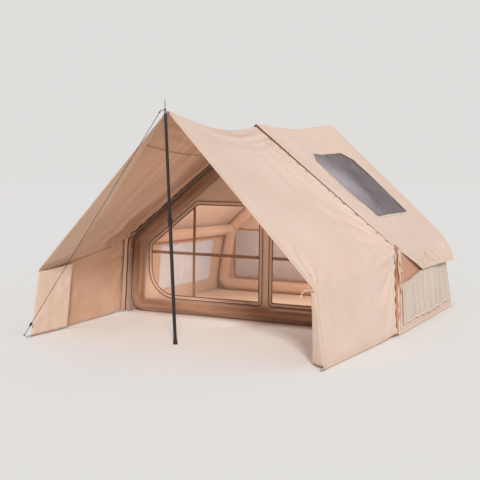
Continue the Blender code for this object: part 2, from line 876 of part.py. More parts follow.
# Eave flaps: each hangs from the roof's edge and stands away from the wall
def crumple(u, v):
    return math.sin(math.pi * u) * math.sin(math.tau * (3.0 * v + u)) * math.sin(math.pi * v)


def flap_point(u, v, side):
    top_y = lerp(FRONT_Y + FLAP_TOP_START, REAR_Y, v)
    low_y = lerp(FRONT_Y + FLAP_LOW_START, REAR_Y, v)
    shoulder = shoulder_point(top_y)
    way = (shoulder - ridge_point(top_y)).normalized()
    top = shoulder + way * FLAP_START
    low = side_point(low_y, FLAP_HEIGHT)
    low.x += lerp(FLAP_FRONT_STEP, FLAP_REAR_STEP, v)
    point = top.lerp(low, u)
    fullness = lerp(FLAP_FRONT_SHARE, 1, v)
    bulge = (FLAP_BELLY * math.sin(math.pi * u) + FLAP_CRUMPLE * crumple(u, v)) * fullness
    return mirrored(point + Vector((bulge, 0, 0)), side)


def flap(side_name, side):
    cloth(
        f"eave_flap_{side_name}",
        lambda u, v: flap_point(u, v, side),
        evenly(7),
        evenly(16),
        CANVAS,
        CANVAS_PAINT,
    )


for side_name, side in (("left", -1), ("right", 1)):
    flap(side_name, side)


# Side walls: the cloth stands one step outside the gusset, with a window that a folded film fills
def wall_top(y, front_top):
    middle_y = FRONT_Y + WALL_MIDDLE
    middle_top = max(WALL_TOP_MIDDLE, front_top)
    if y < middle_y:
        return lerp(front_top, middle_top, (y - FRONT_Y) / WALL_MIDDLE)
    return lerp(middle_top, WALL_TOP_REAR, (y - middle_y) / (REAR_Y - middle_y))


def wall_point(y, height, side):
    """The wall's cloth: close to the gusset at both ends, and one step outside it between the arches."""
    point = side_point(y, height)
    end = min(y - FRONT_Y, REAR_Y - y) / BEAM_DIAMETER
    point.x += lerp(LAYER_END_STEP, LAYER_STEP, min(end, 1))
    return mirrored(point, side)


WALL_YS = [
    FRONT_Y,
    FRONT_Y + BEAM_DIAMETER,
    FRONT_Y + WINDOW_FRONT,
    FRONT_Y + WALL_MIDDLE,
    FRONT_Y + (WALL_MIDDLE + WINDOW_REAR) / 2,
    FRONT_Y + WINDOW_REAR,
    REAR_Y - BEAM_DIAMETER,
    REAR_Y,
]


def side_wall(side_name, side, front_top, window_high, gusset_low):
    def surface(row, y):
        top = wall_top(y, front_top)
        heights = [HEM_CLEARANCE, WINDOW_LOW, (WINDOW_LOW + window_high) / 2, window_high, top]
        return wall_point(y, heights[round(row)], side)

    cloth(
        f"shoulder_gusset_{side_name}",
        lambda u, y: mirrored(side_point(y, lerp(gusset_low, GUSSET_HIGH, u)), side),
        evenly(2),
        WALL_YS,
        CANVAS,
        LINER_PAINT,
    )

    cloth(
        f"side_wall_{side_name}",
        surface,
        [0, 1, 2, 3, 4],
        WALL_YS,
        CANVAS,
        CANVAS_PAINT,
        keep=lambda column, row: not (1 < column < 3 and 2 < row < 5),
    )
    low_y = FRONT_Y + WINDOW_FRONT + SEAM
    high_y = FRONT_Y + WINDOW_REAR - SEAM

    def film(u, v):
        y = lerp(low_y, high_y, v)
        height = lerp(WINDOW_LOW + SEAM, window_high - SEAM, u)
        fold = CURTAIN_FOLD * math.sin(math.pi * CURTAIN_FOLDS * v) ** 2 * math.sin(math.pi * v)
        return wall_point(y, height, side) + Vector((fold * side, 0, 0))

    cloth(
        f"side_window_{side_name}",
        film,
        evenly(2),
        evenly(CURTAIN_COLUMNS),
        FILM,
        FILM_PAINT,
    )


side_wall("left", -1, WALL_TOP_FRONT_LEFT, WINDOW_HIGH_LEFT, GUSSET_LOW_LEFT)
side_wall("right", 1, WALL_TOP_FRONT_RIGHT, WINDOW_HIGH_RIGHT, GUSSET_LOW_RIGHT)


# Rear wall with its window
def wall_outline(y):
    inner = CANVAS / 2 + SEAM
    return inset_outline(section_outline(y), [FLOOR_TOP] + [inner] * 4)


def rectangle_outline(span, low, high, radius):
    half = span / 2
    corners = [Vector((-half, low)), Vector((half, low)), Vector((half, high)), Vector((-half, high))]
    return rounded(corners, [radius] * 4)


plate(
    "rear_wall",
    wall_outline(REAR_Y),
    [rectangle_outline(REAR_WINDOW_SPAN, REAR_WINDOW_LOW, REAR_WINDOW_HIGH, REAR_WINDOW_CORNER)],
    REAR_WALL_Y,
    CANVAS,
    CANVAS_PAINT,
)
plate(
    "rear_window",
    rectangle_outline(
        REAR_WINDOW_SPAN - 2 * SEAM,
        REAR_WINDOW_LOW + SEAM,
        REAR_WINDOW_HIGH - SEAM,
        REAR_WINDOW_CORNER,
    ),
    [],
    REAR_WALL_Y,
    FILM,
    FILM_PAINT,
)


# Front wall: two D-shaped doors either side of a mullion
def door_corners(side):
    """The five corners of the right leaf, anticlockwise. The left leaf is its mirror."""
    hinge = MULLION_CENTRE * side + MULLION_WIDTH / 2
    section = section_outline(FRONT_Y)
    roof = inset_outline(section, [0, 0, DOOR_ROOF_MARGIN, DOOR_ROOF_MARGIN, 0])
    slope = (roof[3] - roof[2]).normalized()
    outer = lines_meet(roof[2], slope, Vector((DOOR_OUTER, 0)), Vector((0, 1)))
    upper = lines_meet(roof[2], slope, Vector((0, DOOR_TOP)), Vector((1, 0)))
    return [
        Vector((hinge, DOOR_LOW)),
        Vector((DOOR_OUTER, DOOR_LOW)),
        outer,
        upper,
        Vector((hinge, DOOR_TOP)),
    ]


def door_outline(side, inset):
    """A leaf's outline moved inwards, mirrored for the left door."""
    corners = inset_outline(door_corners(side), [inset] * 5)
    small = DOOR_SMALL_CORNER
    radii = [small, DOOR_CORNER, small * 2, small, small]
    radii = [max(radius - inset, small / 4) for radius in radii]
    outline = rounded(corners, radii, BEND_STEPS + 1)
    return [Vector((point.x * side, point.y)) for point in outline]


def height_over(outline, x):
    """How high a closed outline reaches above a place."""
    heights = []
    for place, end in enumerate(outline):
        start = outline[place - 1]
        if (start.x - x) * (end.x - x) < 0:
            heights.append(lerp(start.y, end.y, (x - start.x) / (end.x - start.x)))
    return max(heights)


def door_leaf(side_name, side):
    hinge = Vector(((MULLION_CENTRE * side + MULLION_WIDTH / 2) * side, WALL_FACE_Y, DOOR_LOW))
    plate(f"door_panel_{side_name}", door_outline(side, 0), [], FRONT_WALL_Y, CANVAS, FILM_PAINT, hinge)
    bm = bmesh.new()
    trim_y = WALL_FACE_Y - GAP - TRIM_HEIGHT / 2
    section = ((-1, 1), (1, 1), (1, 0), (HALF_SHARE, -1), (-HALF_SHARE, -1), (-1, 0))
    trim = [(a * TRIM_WIDTH / 2, b * TRIM_HEIGHT / 2) for a, b in section]
    skin(bm, upright_rings(door_outline(side, TRIM_INSET), trim_y, trim), closed=True)
    binding = finish(f"door_trim_{side_name}", bm, TRIM_PAINT, True, hinge)
    outer_x = (DOOR_OUTER - TRIM_INSET) * side
    inner_x = hinge.x + TRIM_INSET * side
    bar_x = lerp(hinge.x, DOOR_OUTER * side, BAR_SHARE)
    edge = door_outline(side, TRIM_INSET)
    low = DOOR_LOW + TRIM_INSET
    high = min(height_over(edge, bar_x - BAR_WIDTH / 2), height_over(edge, bar_x + BAR_WIDTH / 2))
    bar_y = WALL_FACE_Y - GAP - BAR_HEIGHT / 2
    across = Vector((0, 1, 0))
    level = Vector(((outer_x + inner_x) / 2, bar_y, BAR_LEVEL))
    bm = bmesh.new()
    skin(bm, box_rings(level, Vector((1, 0, 0)), across, abs(outer_x - inner_x), BAR_HEIGHT, BAR_WIDTH))
    cut(binding, finish(f"door_bar_level_{side_name}", bm, TRIM_PAINT), "UNION")
    bm = bmesh.new()
    upright = Vector((bar_x, bar_y, (low + high) / 2))
    skin(bm, box_rings(upright, Vector((0, 0, 1)), across, high - low, BAR_HEIGHT, BAR_WIDTH))
    cut(binding, finish(f"door_bar_upright_{side_name}", bm, TRIM_PAINT), "UNION")
    bm = bmesh.new()
    zip_y = WALL_FACE_Y - GAP - ZIP_HEIGHT / 2
    zip_section = rectangle(ZIP_WIDTH, ZIP_HEIGHT)
    skin(bm, upright_rings(door_outline(side, -ZIP_INSET), zip_y, zip_section), closed=True)
    finish(f"door_zip_{side_name}", bm, TRIM_PAINT, True)
    door_slider(side_name, side, hinge)


def door_slider(side_name, side, hinge):
    """The zip's slider with its pull, on the straight run below the leaf."""
    middle = hinge + Vector((SLIDER_START * side, -GAP - SLIDER_HEIGHT / 2, 0))
    pull = middle + Vector(((SLIDER_LENGTH + SLIDER_PULL) / 2 * side, 0, 0))
    bm = bmesh.new()
    along, across = Vector((side, 0, 0)), Vector((0, 0, 1))
    stations = (0.0, 0.25, 0.75, 1.0)
    rings = straight_rings(
        middle - along * (SLIDER_LENGTH / 2),
        middle + along * (SLIDER_LENGTH / 2),
        rectangle(SLIDER_WIDTH, SLIDER_HEIGHT),
        across,
        stations,
    )
    for ring in (rings[0], rings[-1]):
        centre = sum(ring, Vector()) / len(ring)
        ring[:] = [centre + (point - centre) * SLIDER_END_SHARE for point in ring]
    skin(bm, rings)
    slider = finish(f"door_slider_{side_name}", bm, BRIGHT_PAINT, False, middle)
    bm = bmesh.new()
    pull_length = SLIDER_PULL + SLIDER_LENGTH / 4
    skin(bm, box_rings(pull, along, across, pull_length, SLIDER_WIDTH / 2, SLIDER_HEIGHT / 3))
    cut(slider, finish(f"slider_pull_{side_name}", bm, BRIGHT_PAINT), "UNION")


plate(
    "front_wall",
    wall_outline(FRONT_Y),
    [door_outline(-1, -DOOR_GAP), door_outline(1, -DOOR_GAP)],
    FRONT_WALL_Y,
    CANVAS,
    LINER_PAINT,
)
for side_name, side in (("left", -1), ("right", 1)):
    door_leaf(side_name, side)


# Awning: two slopes from the sagging ridge to the eaves, gathered at their corners
def spread_share(u, turn_share):
    """Where u lies on the rear edge, which turns at the shoulder."""
    if u < turn_share:
        return u / turn_share, 0.0
    return 1.0, (u - turn_share) / (1 - turn_share)


REAR_RIDGE_POINT = Vector((0, AWNING_REAR_Y, AWNING_REAR_HEIGHT))
REAR_SHOULDER_POINT = Vector((FRONT_SHOULDER_X, AWNING_REAR_Y, SHOULDER_HEIGHT))
REAR_EAVE_POINT = side_point(FRONT_Y, AWNING_REAR_EAVE)
REAR_EAVE_POINT.y = AWNING_REAR_Y
REAR_HEM_POINT = side_point(FRONT_Y, HEM_LIFT)
REAR_HEM_POINT.y = AWNING_REAR_Y
APEX_POINT = Vector((0, AWNING_FRONT_Y, APEX_HEIGHT))
EAVE_POINT = Vector((AWNING_EAVE_X, AWNING_FRONT_Y, AWNING_EAVE_HEIGHT))
HEM_POINT = Vector((AWNING_HEM_X, AWNING_FRONT_Y, HEM_CLEARANCE))
REAR_RUN = (REAR_SHOULDER_POINT - REAR_RIDGE_POINT).length
REAR_DROP = (REAR_EAVE_POINT - REAR_SHOULDER_POINT).length
TURN_SHARE = REAR_RUN / (REAR_RUN + REAR_DROP)


def rear_edge(u):
    along, down = spread_share(u, TURN_SHARE)
    if down > 0:
        return REAR_SHOULDER_POINT.lerp(REAR_EAVE_POINT, down)
    return REAR_RIDGE_POINT.lerp(REAR_SHOULDER_POINT, along)


def gathers(point, corner, towards):
    """Folds that fan out of a corner and die away."""
    away = point - corner
    far = away.length / GATHER_REACH
    if far >= 1:
        return 0.0
    turn = math.atan2(away.cross(towards).length, away.dot(towards))
    return GATHER_HEIGHT * math.sin(GATHER_COUNT * turn) * math.sin(math.pi * far) * (1 - far)


def awning_point(u, v, side):
    point = APEX_POINT.lerp(EAVE_POINT, u).lerp(rear_edge(u), v)
    droop = math.sin(math.pi * v**SAG_PLACE_SHARE)
    folds = gathers(point, EAVE_POINT, REAR_EAVE_POINT - EAVE_POINT)
    folds += gathers(point, REAR_EAVE_POINT, EAVE_POINT - REAR_EAVE_POINT)
    edge = min(1.0, 8.0 * v * (1 - v)) * math.sin(math.pi * min(1.0, 1.15 - u) * HALF_SHARE)
    point.z -= AWNING_SAG * droop * (1 - u) ** RIDGE_SHARE
    point.z -= AWNING_BELLY * math.sin(math.pi * u) * math.sin(math.pi * v)
    point.z += folds * edge * (1 - u) ** 0.5 * 2
    return mirrored(point, side)


def awning_wall_point(u, v, side):
    """u climbs from the hem to the eave, v runs to the rear."""
    low = HEM_POINT.lerp(REAR_HEM_POINT, v)
    high = EAVE_POINT.lerp(REAR_EAVE_POINT, v)
    point = low.lerp(high, u)
    bulge = WALL_BELLY * math.sin(math.pi * u) * math.sin(math.pi * v)
    folds = gathers(point, REAR_EAVE_POINT, EAVE_POINT - REAR_EAVE_POINT) * math.sin(math.pi * u)
    point.x += bulge + folds * (1 - u)
    return mirrored(point, side)


AWNING_US = evenly(12, 0.0, TURN_SHARE) + [1.0]


def awning_side(side_name, side):
    cloth(
        f"awning_roof_{side_name}",
        lambda u, v: awning_point(u, v, side),
        AWNING_US,
        evenly(12),
        CANVAS,
        CANVAS_PAINT,
        insets=(RIDGE_SEAM, SEAM, 0, 0),
    )
    wall = cloth(
        f"awning_wall_{side_name}",
        lambda u, v: awning_wall_point(u, v, side),
        evenly(6),
        evenly(12),
        CANVAS,
        CANVAS_PAINT,
        insets=(0, SEAM, 0, 0),
    )
    way = Vector((0, -1, 0))
    corner = mirrored(HEM_POINT, side)
    corner.z = 0
    hole, across = add_ear(wall, f"ear_awning_{side_name}", corner, way, EAR_ROOT)
    ground_ring(f"awning_ring_{side_name}", hole, way, across)


for side_name, side in (("left", -1), ("right", 1)):
    awning_side(side_name, side)


# Lacing strips that join the awning to the front edge of the cabin
def lacing(side_name, side):
    section = section_outline(FRONT_Y)
    ridge, shoulder, foot = section[3], section[2], section[1]
    slope = (shoulder - ridge).normalized()
    leg = (foot - shoulder).normalized()
    between = [ridge.lerp(shoulder, share) for share in LACING_SHARES]
    path = [ridge + slope * RIDGE_SEAM * 2, *between, shoulder, foot - leg * GAP]
    path = [Vector((point.x * side, point.y)) for point in path]
    y = FRONT_Y - GAP - LACING_WIDTH / 2
    bm = bmesh.new()
    skin(bm, upright_rings(path, y, rectangle(LACING_HEIGHT, LACING_WIDTH), closed=False))
    finish(f"awning_zip_{side_name}", bm, TRIM_PAINT)


for side_name, side in (("left", -1), ("right", 1)):
    lacing(side_name, side)


# Wings: the ends of the awning's front, folded back inside its walls and hinged on their front edges
def wing(side_name, side, width, open_degrees, lift):
    lean = (EAVE_POINT - HEM_POINT).normalized()
    inner = Vector((-1, 0, 0))
    foot = HEM_POINT + lean * lift + inner * WING_STEP
    head = EAVE_POINT - lean * WING_TOP_MARGIN + inner * WING_STEP
    hem_way = (REAR_HEM_POINT - HEM_POINT).normalized()
    eave_way = (REAR_EAVE_POINT - EAVE_POINT).normalized()
    opened = Matrix.Rotation(math.radians(open_degrees), 3, lean)

    def surface(u, v):
        way = opened @ hem_way.lerp(eave_way, u).normalized()
        point = foot.lerp(head, u) + way * (width * v)
        curl = WING_CURL * math.sin(math.pi * v) * (v if side > 0 else 0.0)
        return mirrored(point + inner * curl, side)

    cloth(
        f"wing_{side_name}",
        surface,
        evenly(3),
        evenly(6),
        CANVAS,
        CANVAS_PAINT,
        origin=mirrored(foot, side),
    )


wing("left", -1, WING_WIDTH_LEFT, WING_OPEN_LEFT, WING_FOOT_LEFT)
wing("right", 1, WING_WIDTH_RIGHT, WING_OPEN_RIGHT, WING_FOOT_RIGHT)


# Facings: the strips under the slopes' front edges, wide at the eave and running out at the apex
def facing(side_name, side):
    reach = FACING_WIDTH / AWNING_DEPTH
    start = FACING_POINT / (EAVE_POINT - APEX_POINT).length

    def surface(u, w):
        slope_share = lerp(start, GUSSET_SHARE, u)
        point = awning_point(slope_share, reach * slope_share * w, side)
        near = awning_point(slope_share + TINY_SHARE, reach * slope_share * w, side)
        way = (near - point).normalized()
        normal = way.cross(Vector((0, 1, 0))).normalized()
        if normal.z > 0:
            normal = -normal
        return point + normal * FACING_STEP

    cloth(
        f"facing_{side_name}",
        surface,
        evenly(10),
        evenly(3),
        CANVAS,
        CANVAS_PAINT,
    )


for side_name, side in (("left", -1), ("right", 1)):
    facing(side_name, side)

# Pole: foot, lower tube, twist collar, upper tube and the pin that goes through the apex grommet
POLE_FOOT = Vector((POLE_FOOT_X, POLE_FOOT_Y, 0))
GROMMET_PLACE = Vector((0, AWNING_FRONT_Y - POLE_FRONT_STEP, APEX_HEIGHT - PATCH_DROP))
POLE_WAY = (GROMMET_PLACE - POLE_FOOT).normalized()
POLE_LENGTH = (GROMMET_PLACE - POLE_FOOT).length
PATCH_LOW = GROMMET_PLACE.z - PATCH_HEIGHT


def on_pole(far):
    return POLE_FOOT + POLE_WAY * far


LOWER_END = LOWER_START + LOWER_LENGTH
COLLAR_START = LOWER_END + GAP
UPPER_END = POLE_LENGTH - POLE_TOP_STEP
PIN_START = UPPER_END + GAP
stepped_object(
    "pole_foot",
    POLE_FOOT,
    Vector((0, 0, 1)),
    [(0, FOOT_DIAMETER), (FOOT_HEIGHT, FOOT_DIAMETER)],
    RUBBER_PAINT,
)
tube_object("pole_lower", on_pole(LOWER_START), on_pole(LOWER_END), LOWER_DIAMETER, LOWER_BORE, STEEL_PAINT)
tube_object(
    "pole_collar",
    on_pole(COLLAR_START),
    on_pole(COLLAR_START + COLLAR_LENGTH),
    COLLAR_DIAMETER,
    COLLAR_BORE,
    PLASTIC_PAINT,
    on_pole(COLLAR_START),
)
tube_object(
    "pole_upper",
    on_pole(UPPER_START),
    on_pole(UPPER_END),
    UPPER_DIAMETER,
    UPPER_BORE,
    STEEL_PAINT,
    on_pole(UPPER_START),
)
stepped_object(
    "pole_pin",
    on_pole(PIN_START),
    POLE_WAY,
    [
        (0, UPPER_BORE),
        (PIN_HEAD, UPPER_BORE),
        (PIN_HEAD, PIN_DIAMETER),
        (PIN_LENGTH - PIN_DIAMETER, PIN_DIAMETER),
        (PIN_LENGTH, PIN_DIAMETER / 2),
    ],
    BRIGHT_PAINT,
    on_pole(PIN_START),
    EAR_SIDES,
)

# Apex patch with its hole, and the grommet on top
patch_rear = AWNING_FRONT_Y - GAP
patch_middle = Vector((0, patch_rear - PATCH_LENGTH / 2, GROMMET_PLACE.z - PATCH_HEIGHT / 2))
bm = bmesh.new()
patch_ways = (Vector((0, 1, 0)), Vector((1, 0, 0)))
skin(bm, box_rings(patch_middle, *patch_ways, PATCH_LENGTH, PATCH_WIDTH, PATCH_HEIGHT))
patch = finish("apex_patch", bm, CANVAS_PAINT)
drill = stepped_object(
    "apex_drill",
    GROMMET_PLACE - Vector((0, 0, PATCH_HEIGHT * 2)),
    Vector((0, 0, 1)),
    [(0, GROMMET_BORE), (PATCH_HEIGHT * 4, GROMMET_BORE)],
    CANVAS_PAINT,
)
cut(patch, drill)
tube_object(
    "apex_grommet",
    GROMMET_PLACE + Vector((0, 0, GAP)),
    GROMMET_PLACE + Vector((0, 0, GAP + GROMMET_HEIGHT)),
    GROMMET_DIAMETER,
    GROMMET_BORE,
    BRIGHT_PAINT,
)


# Ropes and cords
def rope(name, points, diameter, material):
    curve = bpy.data.curves.new(name, "CURVE")
    curve.dimensions = "3D"
    curve.bevel_depth = diameter / 2
    curve.bevel_resolution = 2
    curve.use_fill_caps = True
    spline = curve.splines.new("POLY")
    spline.points.add(len(points) - 1)
    for place, point in zip(spline.points, points):
        place.co = (*point, 1)
    curve.materials.append(material)
    item = bpy.data.objects.new(name, curve)
    bpy.context.scene.collection.objects.link(item)
    return item


ROPE_TOP = Vector((ROPE_TOP_X, AWNING_FRONT_Y - ROPE_TOP_STEP, PATCH_LOW))
ROPE_PEG = Vector((ROPE_PEG_X, AWNING_FRONT_Y - ROPE_PEG_STEP, ROPE_PEG_HEIGHT))
ROPE_WAY = (ROPE_TOP - ROPE_PEG).normalized()
ROPE_LENGTH = (ROPE_TOP - ROPE_PEG).length
rope_steps = math.ceil(ROPE_LENGTH / ROPE_POINT_STEP)
rope_points = [ROPE_PEG.lerp(ROPE_TOP, step / rope_steps) for step in range(rope_steps + 1)]
rope("guy_rope", rope_points, ROPE_DIAMETER, ROPE_PAINT)

TENSIONER_CENTRE = ROPE_PEG + ROPE_WAY * TENSIONER_PLACE
tension_across = ROPE_WAY.cross(Vector((0, 1, 0)))
bm = bmesh.new()
tensioner_sizes = (TENSIONER_LENGTH, TENSIONER_WIDTH, TENSIONER_HEIGHT)
skin(bm, box_rings(TENSIONER_CENTRE, ROPE_WAY, tension_across, *tensioner_sizes))
tensioner = finish("guy_tensioner", bm, PLASTIC_PAINT, False, TENSIONER_CENTRE)
drill = stepped_object(
    "tensioner_drill",
    TENSIONER_CENTRE - ROPE_WAY * TENSIONER_LENGTH,
    ROPE_WAY,
    [(0, TENSIONER_BORE), (2 * TENSIONER_LENGTH, TENSIONER_BORE)],
    PLASTIC_PAINT,
    None,
    EAR_SIDES,
)
cut(tensioner, drill)


def curved(points, steps=10):
    """A smooth line through four control points."""
    first, second, third, fourth = points
    line = []
    for step in range(steps + 1):
        share = step / steps
        rest = 1 - share
        near = first * rest**3 + second * (3 * rest**2 * share)
        line.append(near + third * (3 * rest * share**2) + fourth * share**3)
    return line


LEFT_EAVE = mirrored(EAVE_POINT, -1) + Vector((-CORD_START_LEFT, -CORD_START_LEFT, 0))
RIGHT_EAVE = EAVE_POINT + Vector((0, -CORD_START_RIGHT, 0))
REAR_FLAP = flap_point(1.0, 1.0, 1) + Vector((CORD_START_FLAP, CORD_START_FLAP, 0))
CORD_REACH = CORD_POINT_STEP
rope("eave_cord_left", curved([
    LEFT_EAVE,
    LEFT_EAVE + Vector((-3, -1, -1)) * CORD_REACH,
    LEFT_EAVE + Vector((-5, -1, -4)) * CORD_REACH,
    LEFT_EAVE + Vector((-8, -2, -6)) * CORD_REACH,
]), CORD_DIAMETER, CORD_PAINT)
rope("eave_cord_right", curved([
    RIGHT_EAVE,
    RIGHT_EAVE + Vector((-4, -2, 1)) * CORD_REACH,
    RIGHT_EAVE + Vector((-9, -2, -1)) * CORD_REACH,
    RIGHT_EAVE + Vector((-8, -3, -6)) * CORD_REACH,
]), CORD_DIAMETER, CORD_PAINT)
rope("flap_cord_right", curved([
    REAR_FLAP,
    REAR_FLAP + Vector((1, 1, 0)) * CORD_REACH,
    REAR_FLAP + Vector((3, 2, -1)) * CORD_REACH,
    REAR_FLAP + Vector((5, 3, -2)) * CORD_REACH,
]), CORD_DIAMETER, CORD_PAINT)


# Tie tape that hangs from the front right shoulder
def tie_point(u, v):
    wave = TAPE_WAVE * math.sin(math.pi * TAPE_WAVES * v) ** 2
    height = TIE_TOP - TIE_LENGTH * v
    x = side_point(FRONT_Y, height).x + LACING_HEIGHT / 2 + GAP + FILM / 2 + wave
    y = FRONT_Y - LACING_WIDTH / 2 + TIE_WIDTH * (u - HALF_SHARE)
    return Vector((x, y, height))


cloth("tie_tape_right", tie_point, evenly(1), evenly(10), FILM, CANVAS_PAINT)
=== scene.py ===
# %% [markdown]
# # Dressing an inflatable canvas tent
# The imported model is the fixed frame: every joint and every solid is already in its place. Cloth, mesh, air
# beams and cords come out of CAD as plain closed solids, so this lesson lays a detailed piece over each of
# them and hangs it on the same body. Hard pieces whose shape is right keep their CAD mesh and only get a
# finish.

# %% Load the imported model
import json
import math
from functools import partial

import bmesh
import bpy
from mathutils import Matrix, Vector, noise


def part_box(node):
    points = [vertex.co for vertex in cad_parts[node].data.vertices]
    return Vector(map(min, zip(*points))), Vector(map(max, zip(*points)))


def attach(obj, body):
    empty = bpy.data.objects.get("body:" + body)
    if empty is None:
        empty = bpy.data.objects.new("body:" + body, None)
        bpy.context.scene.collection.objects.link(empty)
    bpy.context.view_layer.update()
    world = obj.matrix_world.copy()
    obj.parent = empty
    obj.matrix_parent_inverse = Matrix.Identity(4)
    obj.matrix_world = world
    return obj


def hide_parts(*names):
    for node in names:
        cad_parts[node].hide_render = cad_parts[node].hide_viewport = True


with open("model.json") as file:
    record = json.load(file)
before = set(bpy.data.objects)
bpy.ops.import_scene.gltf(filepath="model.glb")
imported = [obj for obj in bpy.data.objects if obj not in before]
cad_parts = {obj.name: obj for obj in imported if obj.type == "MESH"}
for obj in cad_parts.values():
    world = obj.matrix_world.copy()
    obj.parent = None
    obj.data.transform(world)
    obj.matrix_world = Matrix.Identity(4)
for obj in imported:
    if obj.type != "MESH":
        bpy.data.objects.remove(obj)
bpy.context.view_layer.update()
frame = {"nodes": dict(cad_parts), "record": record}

# %% [markdown]
# The camera stands where the photographer stood: at eye height, to the right of the awning's middle,
# looking slightly down. Its place and its lens were solved from the tent's own corners, so the parts line
# up with the photograph.

# %% Camera
EYE = Vector((3.812, -9.2735, 1.5335))
TURN, TILT, ROLL = 0.4517, 0.0778, 0.0127  # radians
LENS, SENSOR = 67.86, 36.0  # millimetres
camera_data = bpy.data.cameras.new("photo_camera")
camera_data.lens = LENS
camera_data.sensor_width = SENSOR
camera = bpy.data.objects.new("photo_camera", camera_data)
camera.matrix_world = (
    Matrix.Translation(EYE)
    @ Matrix.Rotation(TURN, 4, "Z")
    @ Matrix.Rotation(math.pi / 2 - TILT, 4, "X")
    @ Matrix.Rotation(ROLL, 4, "Z")
)
bpy.context.scene.collection.objects.link(camera)
bpy.context.scene.camera = camera
print("the camera stands at", tuple(round(part, 2) for part in EYE))

# %% [markdown]
# The cords come first, because their length decides where they lie. The guy rope is a taut line from the
# apex to the left ground ring. Two of the pale cords are stubs at the awning's eave corners, and one hangs
# at the rear flap's corner. Each is one smooth open spline with a round bevel, which renders as a cord and
# still measures as a length.

# %% Cords
ROPE_TOP = Vector((-0.026, -2.8805, 1.999))
ROPE_PEG = Vector((-1.450, -2.867, 0.012))
ROPE_STEPS = 72
ROPE_DIAMETER, CORD_DIAMETER = 0.005, 0.006
CORD_STEP = 0.012  # the unit of the moves below
STUBS = {
    "eave_cord_left": ((-1.3218, -2.8168, 0.615), [(-3, -1, -1), (-5, -1, -4), (-8, -2, -6)]),
    "eave_cord_right": ((1.320, -2.8181, 0.615), [(-4, -2, 1), (-9, -2, -1), (-8, -3, -6)]),
    "flap_cord_right": ((1.5108, 1.0758, 0.540), [(1, 1, 0), (3, 2, -1), (5, 3, -2)]),
}


def mix(low, high, share):
    return low + (high - low) * share


def four_point_curve(points, steps=24):
    first, second, third, fourth = points
    line = []
    for step in range(steps + 1):
        t = step / steps
        r = 1 - t
        line.append(first * r**3 + second * (3 * r * r * t) + third * (3 * r * t * t) + fourth * t**3)
    return line


def line_length(points):
    return sum((b - a).length for a, b in zip(points, points[1:]))


def cord_piece(node_name, points, diameter):
    name = f"{node_name}_line"
    curve = bpy.data.curves.new(name, "CURVE")
    curve.dimensions = "3D"
    curve.bevel_depth = 1.0
    curve.bevel_resolution = 4
    curve.use_fill_caps = True
    spline = curve.splines.new("POLY")
    spline.points.add(len(points) - 1)
    for place, point in zip(spline.points, points):
        place.co = (*point, 1)
        place.radius = diameter / 2
    piece = bpy.data.objects.new(name, curve)
    bpy.context.scene.collection.objects.link(piece)
    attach(piece, "tent")
    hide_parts(node_name)
    print(name, "is", round(line_length(points), 4), "m long")
    return piece


ROPE_LINE = [ROPE_TOP.lerp(ROPE_PEG, step / ROPE_STEPS) for step in range(ROPE_STEPS + 1)]
guy_rope = cord_piece("guy_rope", ROPE_LINE, ROPE_DIAMETER)
STUB_LINES, STUB_PIECES = {}, {}
for name, (start, moves) in STUBS.items():
    corner = Vector(start)
    STUB_LINES[name] = four_point_curve([corner] + [corner + Vector(move) * CORD_STEP for move in moves])
    STUB_PIECES[name] = cord_piece(name, STUB_LINES[name], CORD_DIAMETER)

# %% [markdown]
# A studio with a pale floor shows cloth best. One soft, even light comes from far off on the front right,
# low enough to rake over the folds. Real canvas lets daylight through, so the cabin and the porch glow. Two
# soft balls of light inside stand for that, and the world's even light does the rest.

# %% Lamps
def linear(code):
    """An sRGB hex code as the linear colour that Blender's sockets expect."""
    values = [int(code[place : place + 2], 16) / 255 for place in (1, 3, 5)]
    return (*(v / 12.92 if v <= 0.04045 else ((v + 0.055) / 1.055) ** 2.4 for v in values), 1.0)


def lamp(name, kind, power, colour):
    data = bpy.data.lights.new(name, kind)
    data.energy = power
    data.color = linear(colour)[:3]
    item = bpy.data.objects.new(name, data)
    bpy.context.scene.collection.objects.link(item)
    return item


def sun(name, way, power, spread_angle, colour):
    """Even light from far off, which comes from the way given. A wide spread makes its shadows soft."""
    item = lamp(name, "SUN", power, colour)
    item.data.angle = math.radians(spread_angle)
    item.rotation_euler = Vector(way).to_track_quat("Z", "Y").to_euler()


def bulb(name, place, radius, power, colour):
    """A soft ball of light that only lights: neither the camera nor a mirror sees it."""
    item = lamp(name, "POINT", power, colour)
    item.data.shadow_soft_size = radius
    item.location = place
    for way in ("visible_camera", "visible_glossy", "visible_transmission"):
        setattr(item, way, False)


bpy.context.scene.view_settings.view_transform = "Standard"
sun("soft_key", (8.6, -15.2, 9.6), 2.50, 9, "#FFFAF5")
bulb("cabin_glow", (0.0, 0.0, 1.05), 0.40, 49, "#FFFDFA")
bulb("porch_glow", (0.10, -2.20, 1.15), 0.25, 6.4, "#FFF6EC")
print("three lamps are lit")

# %% [markdown]
# The floor is one wide disc in matt grey paint, just under the ground sheet. The world lights everything
# evenly, but the camera, mirrors and clear film see a slightly darker wall instead of the light itself. One
# function adds a node of any kind, for the world here and for every finish later.

# %% Floor and world
STAGE_RADIUS = 90.0
STAGE_DROP = 0.0012
WORLD_LIGHT = 0.54


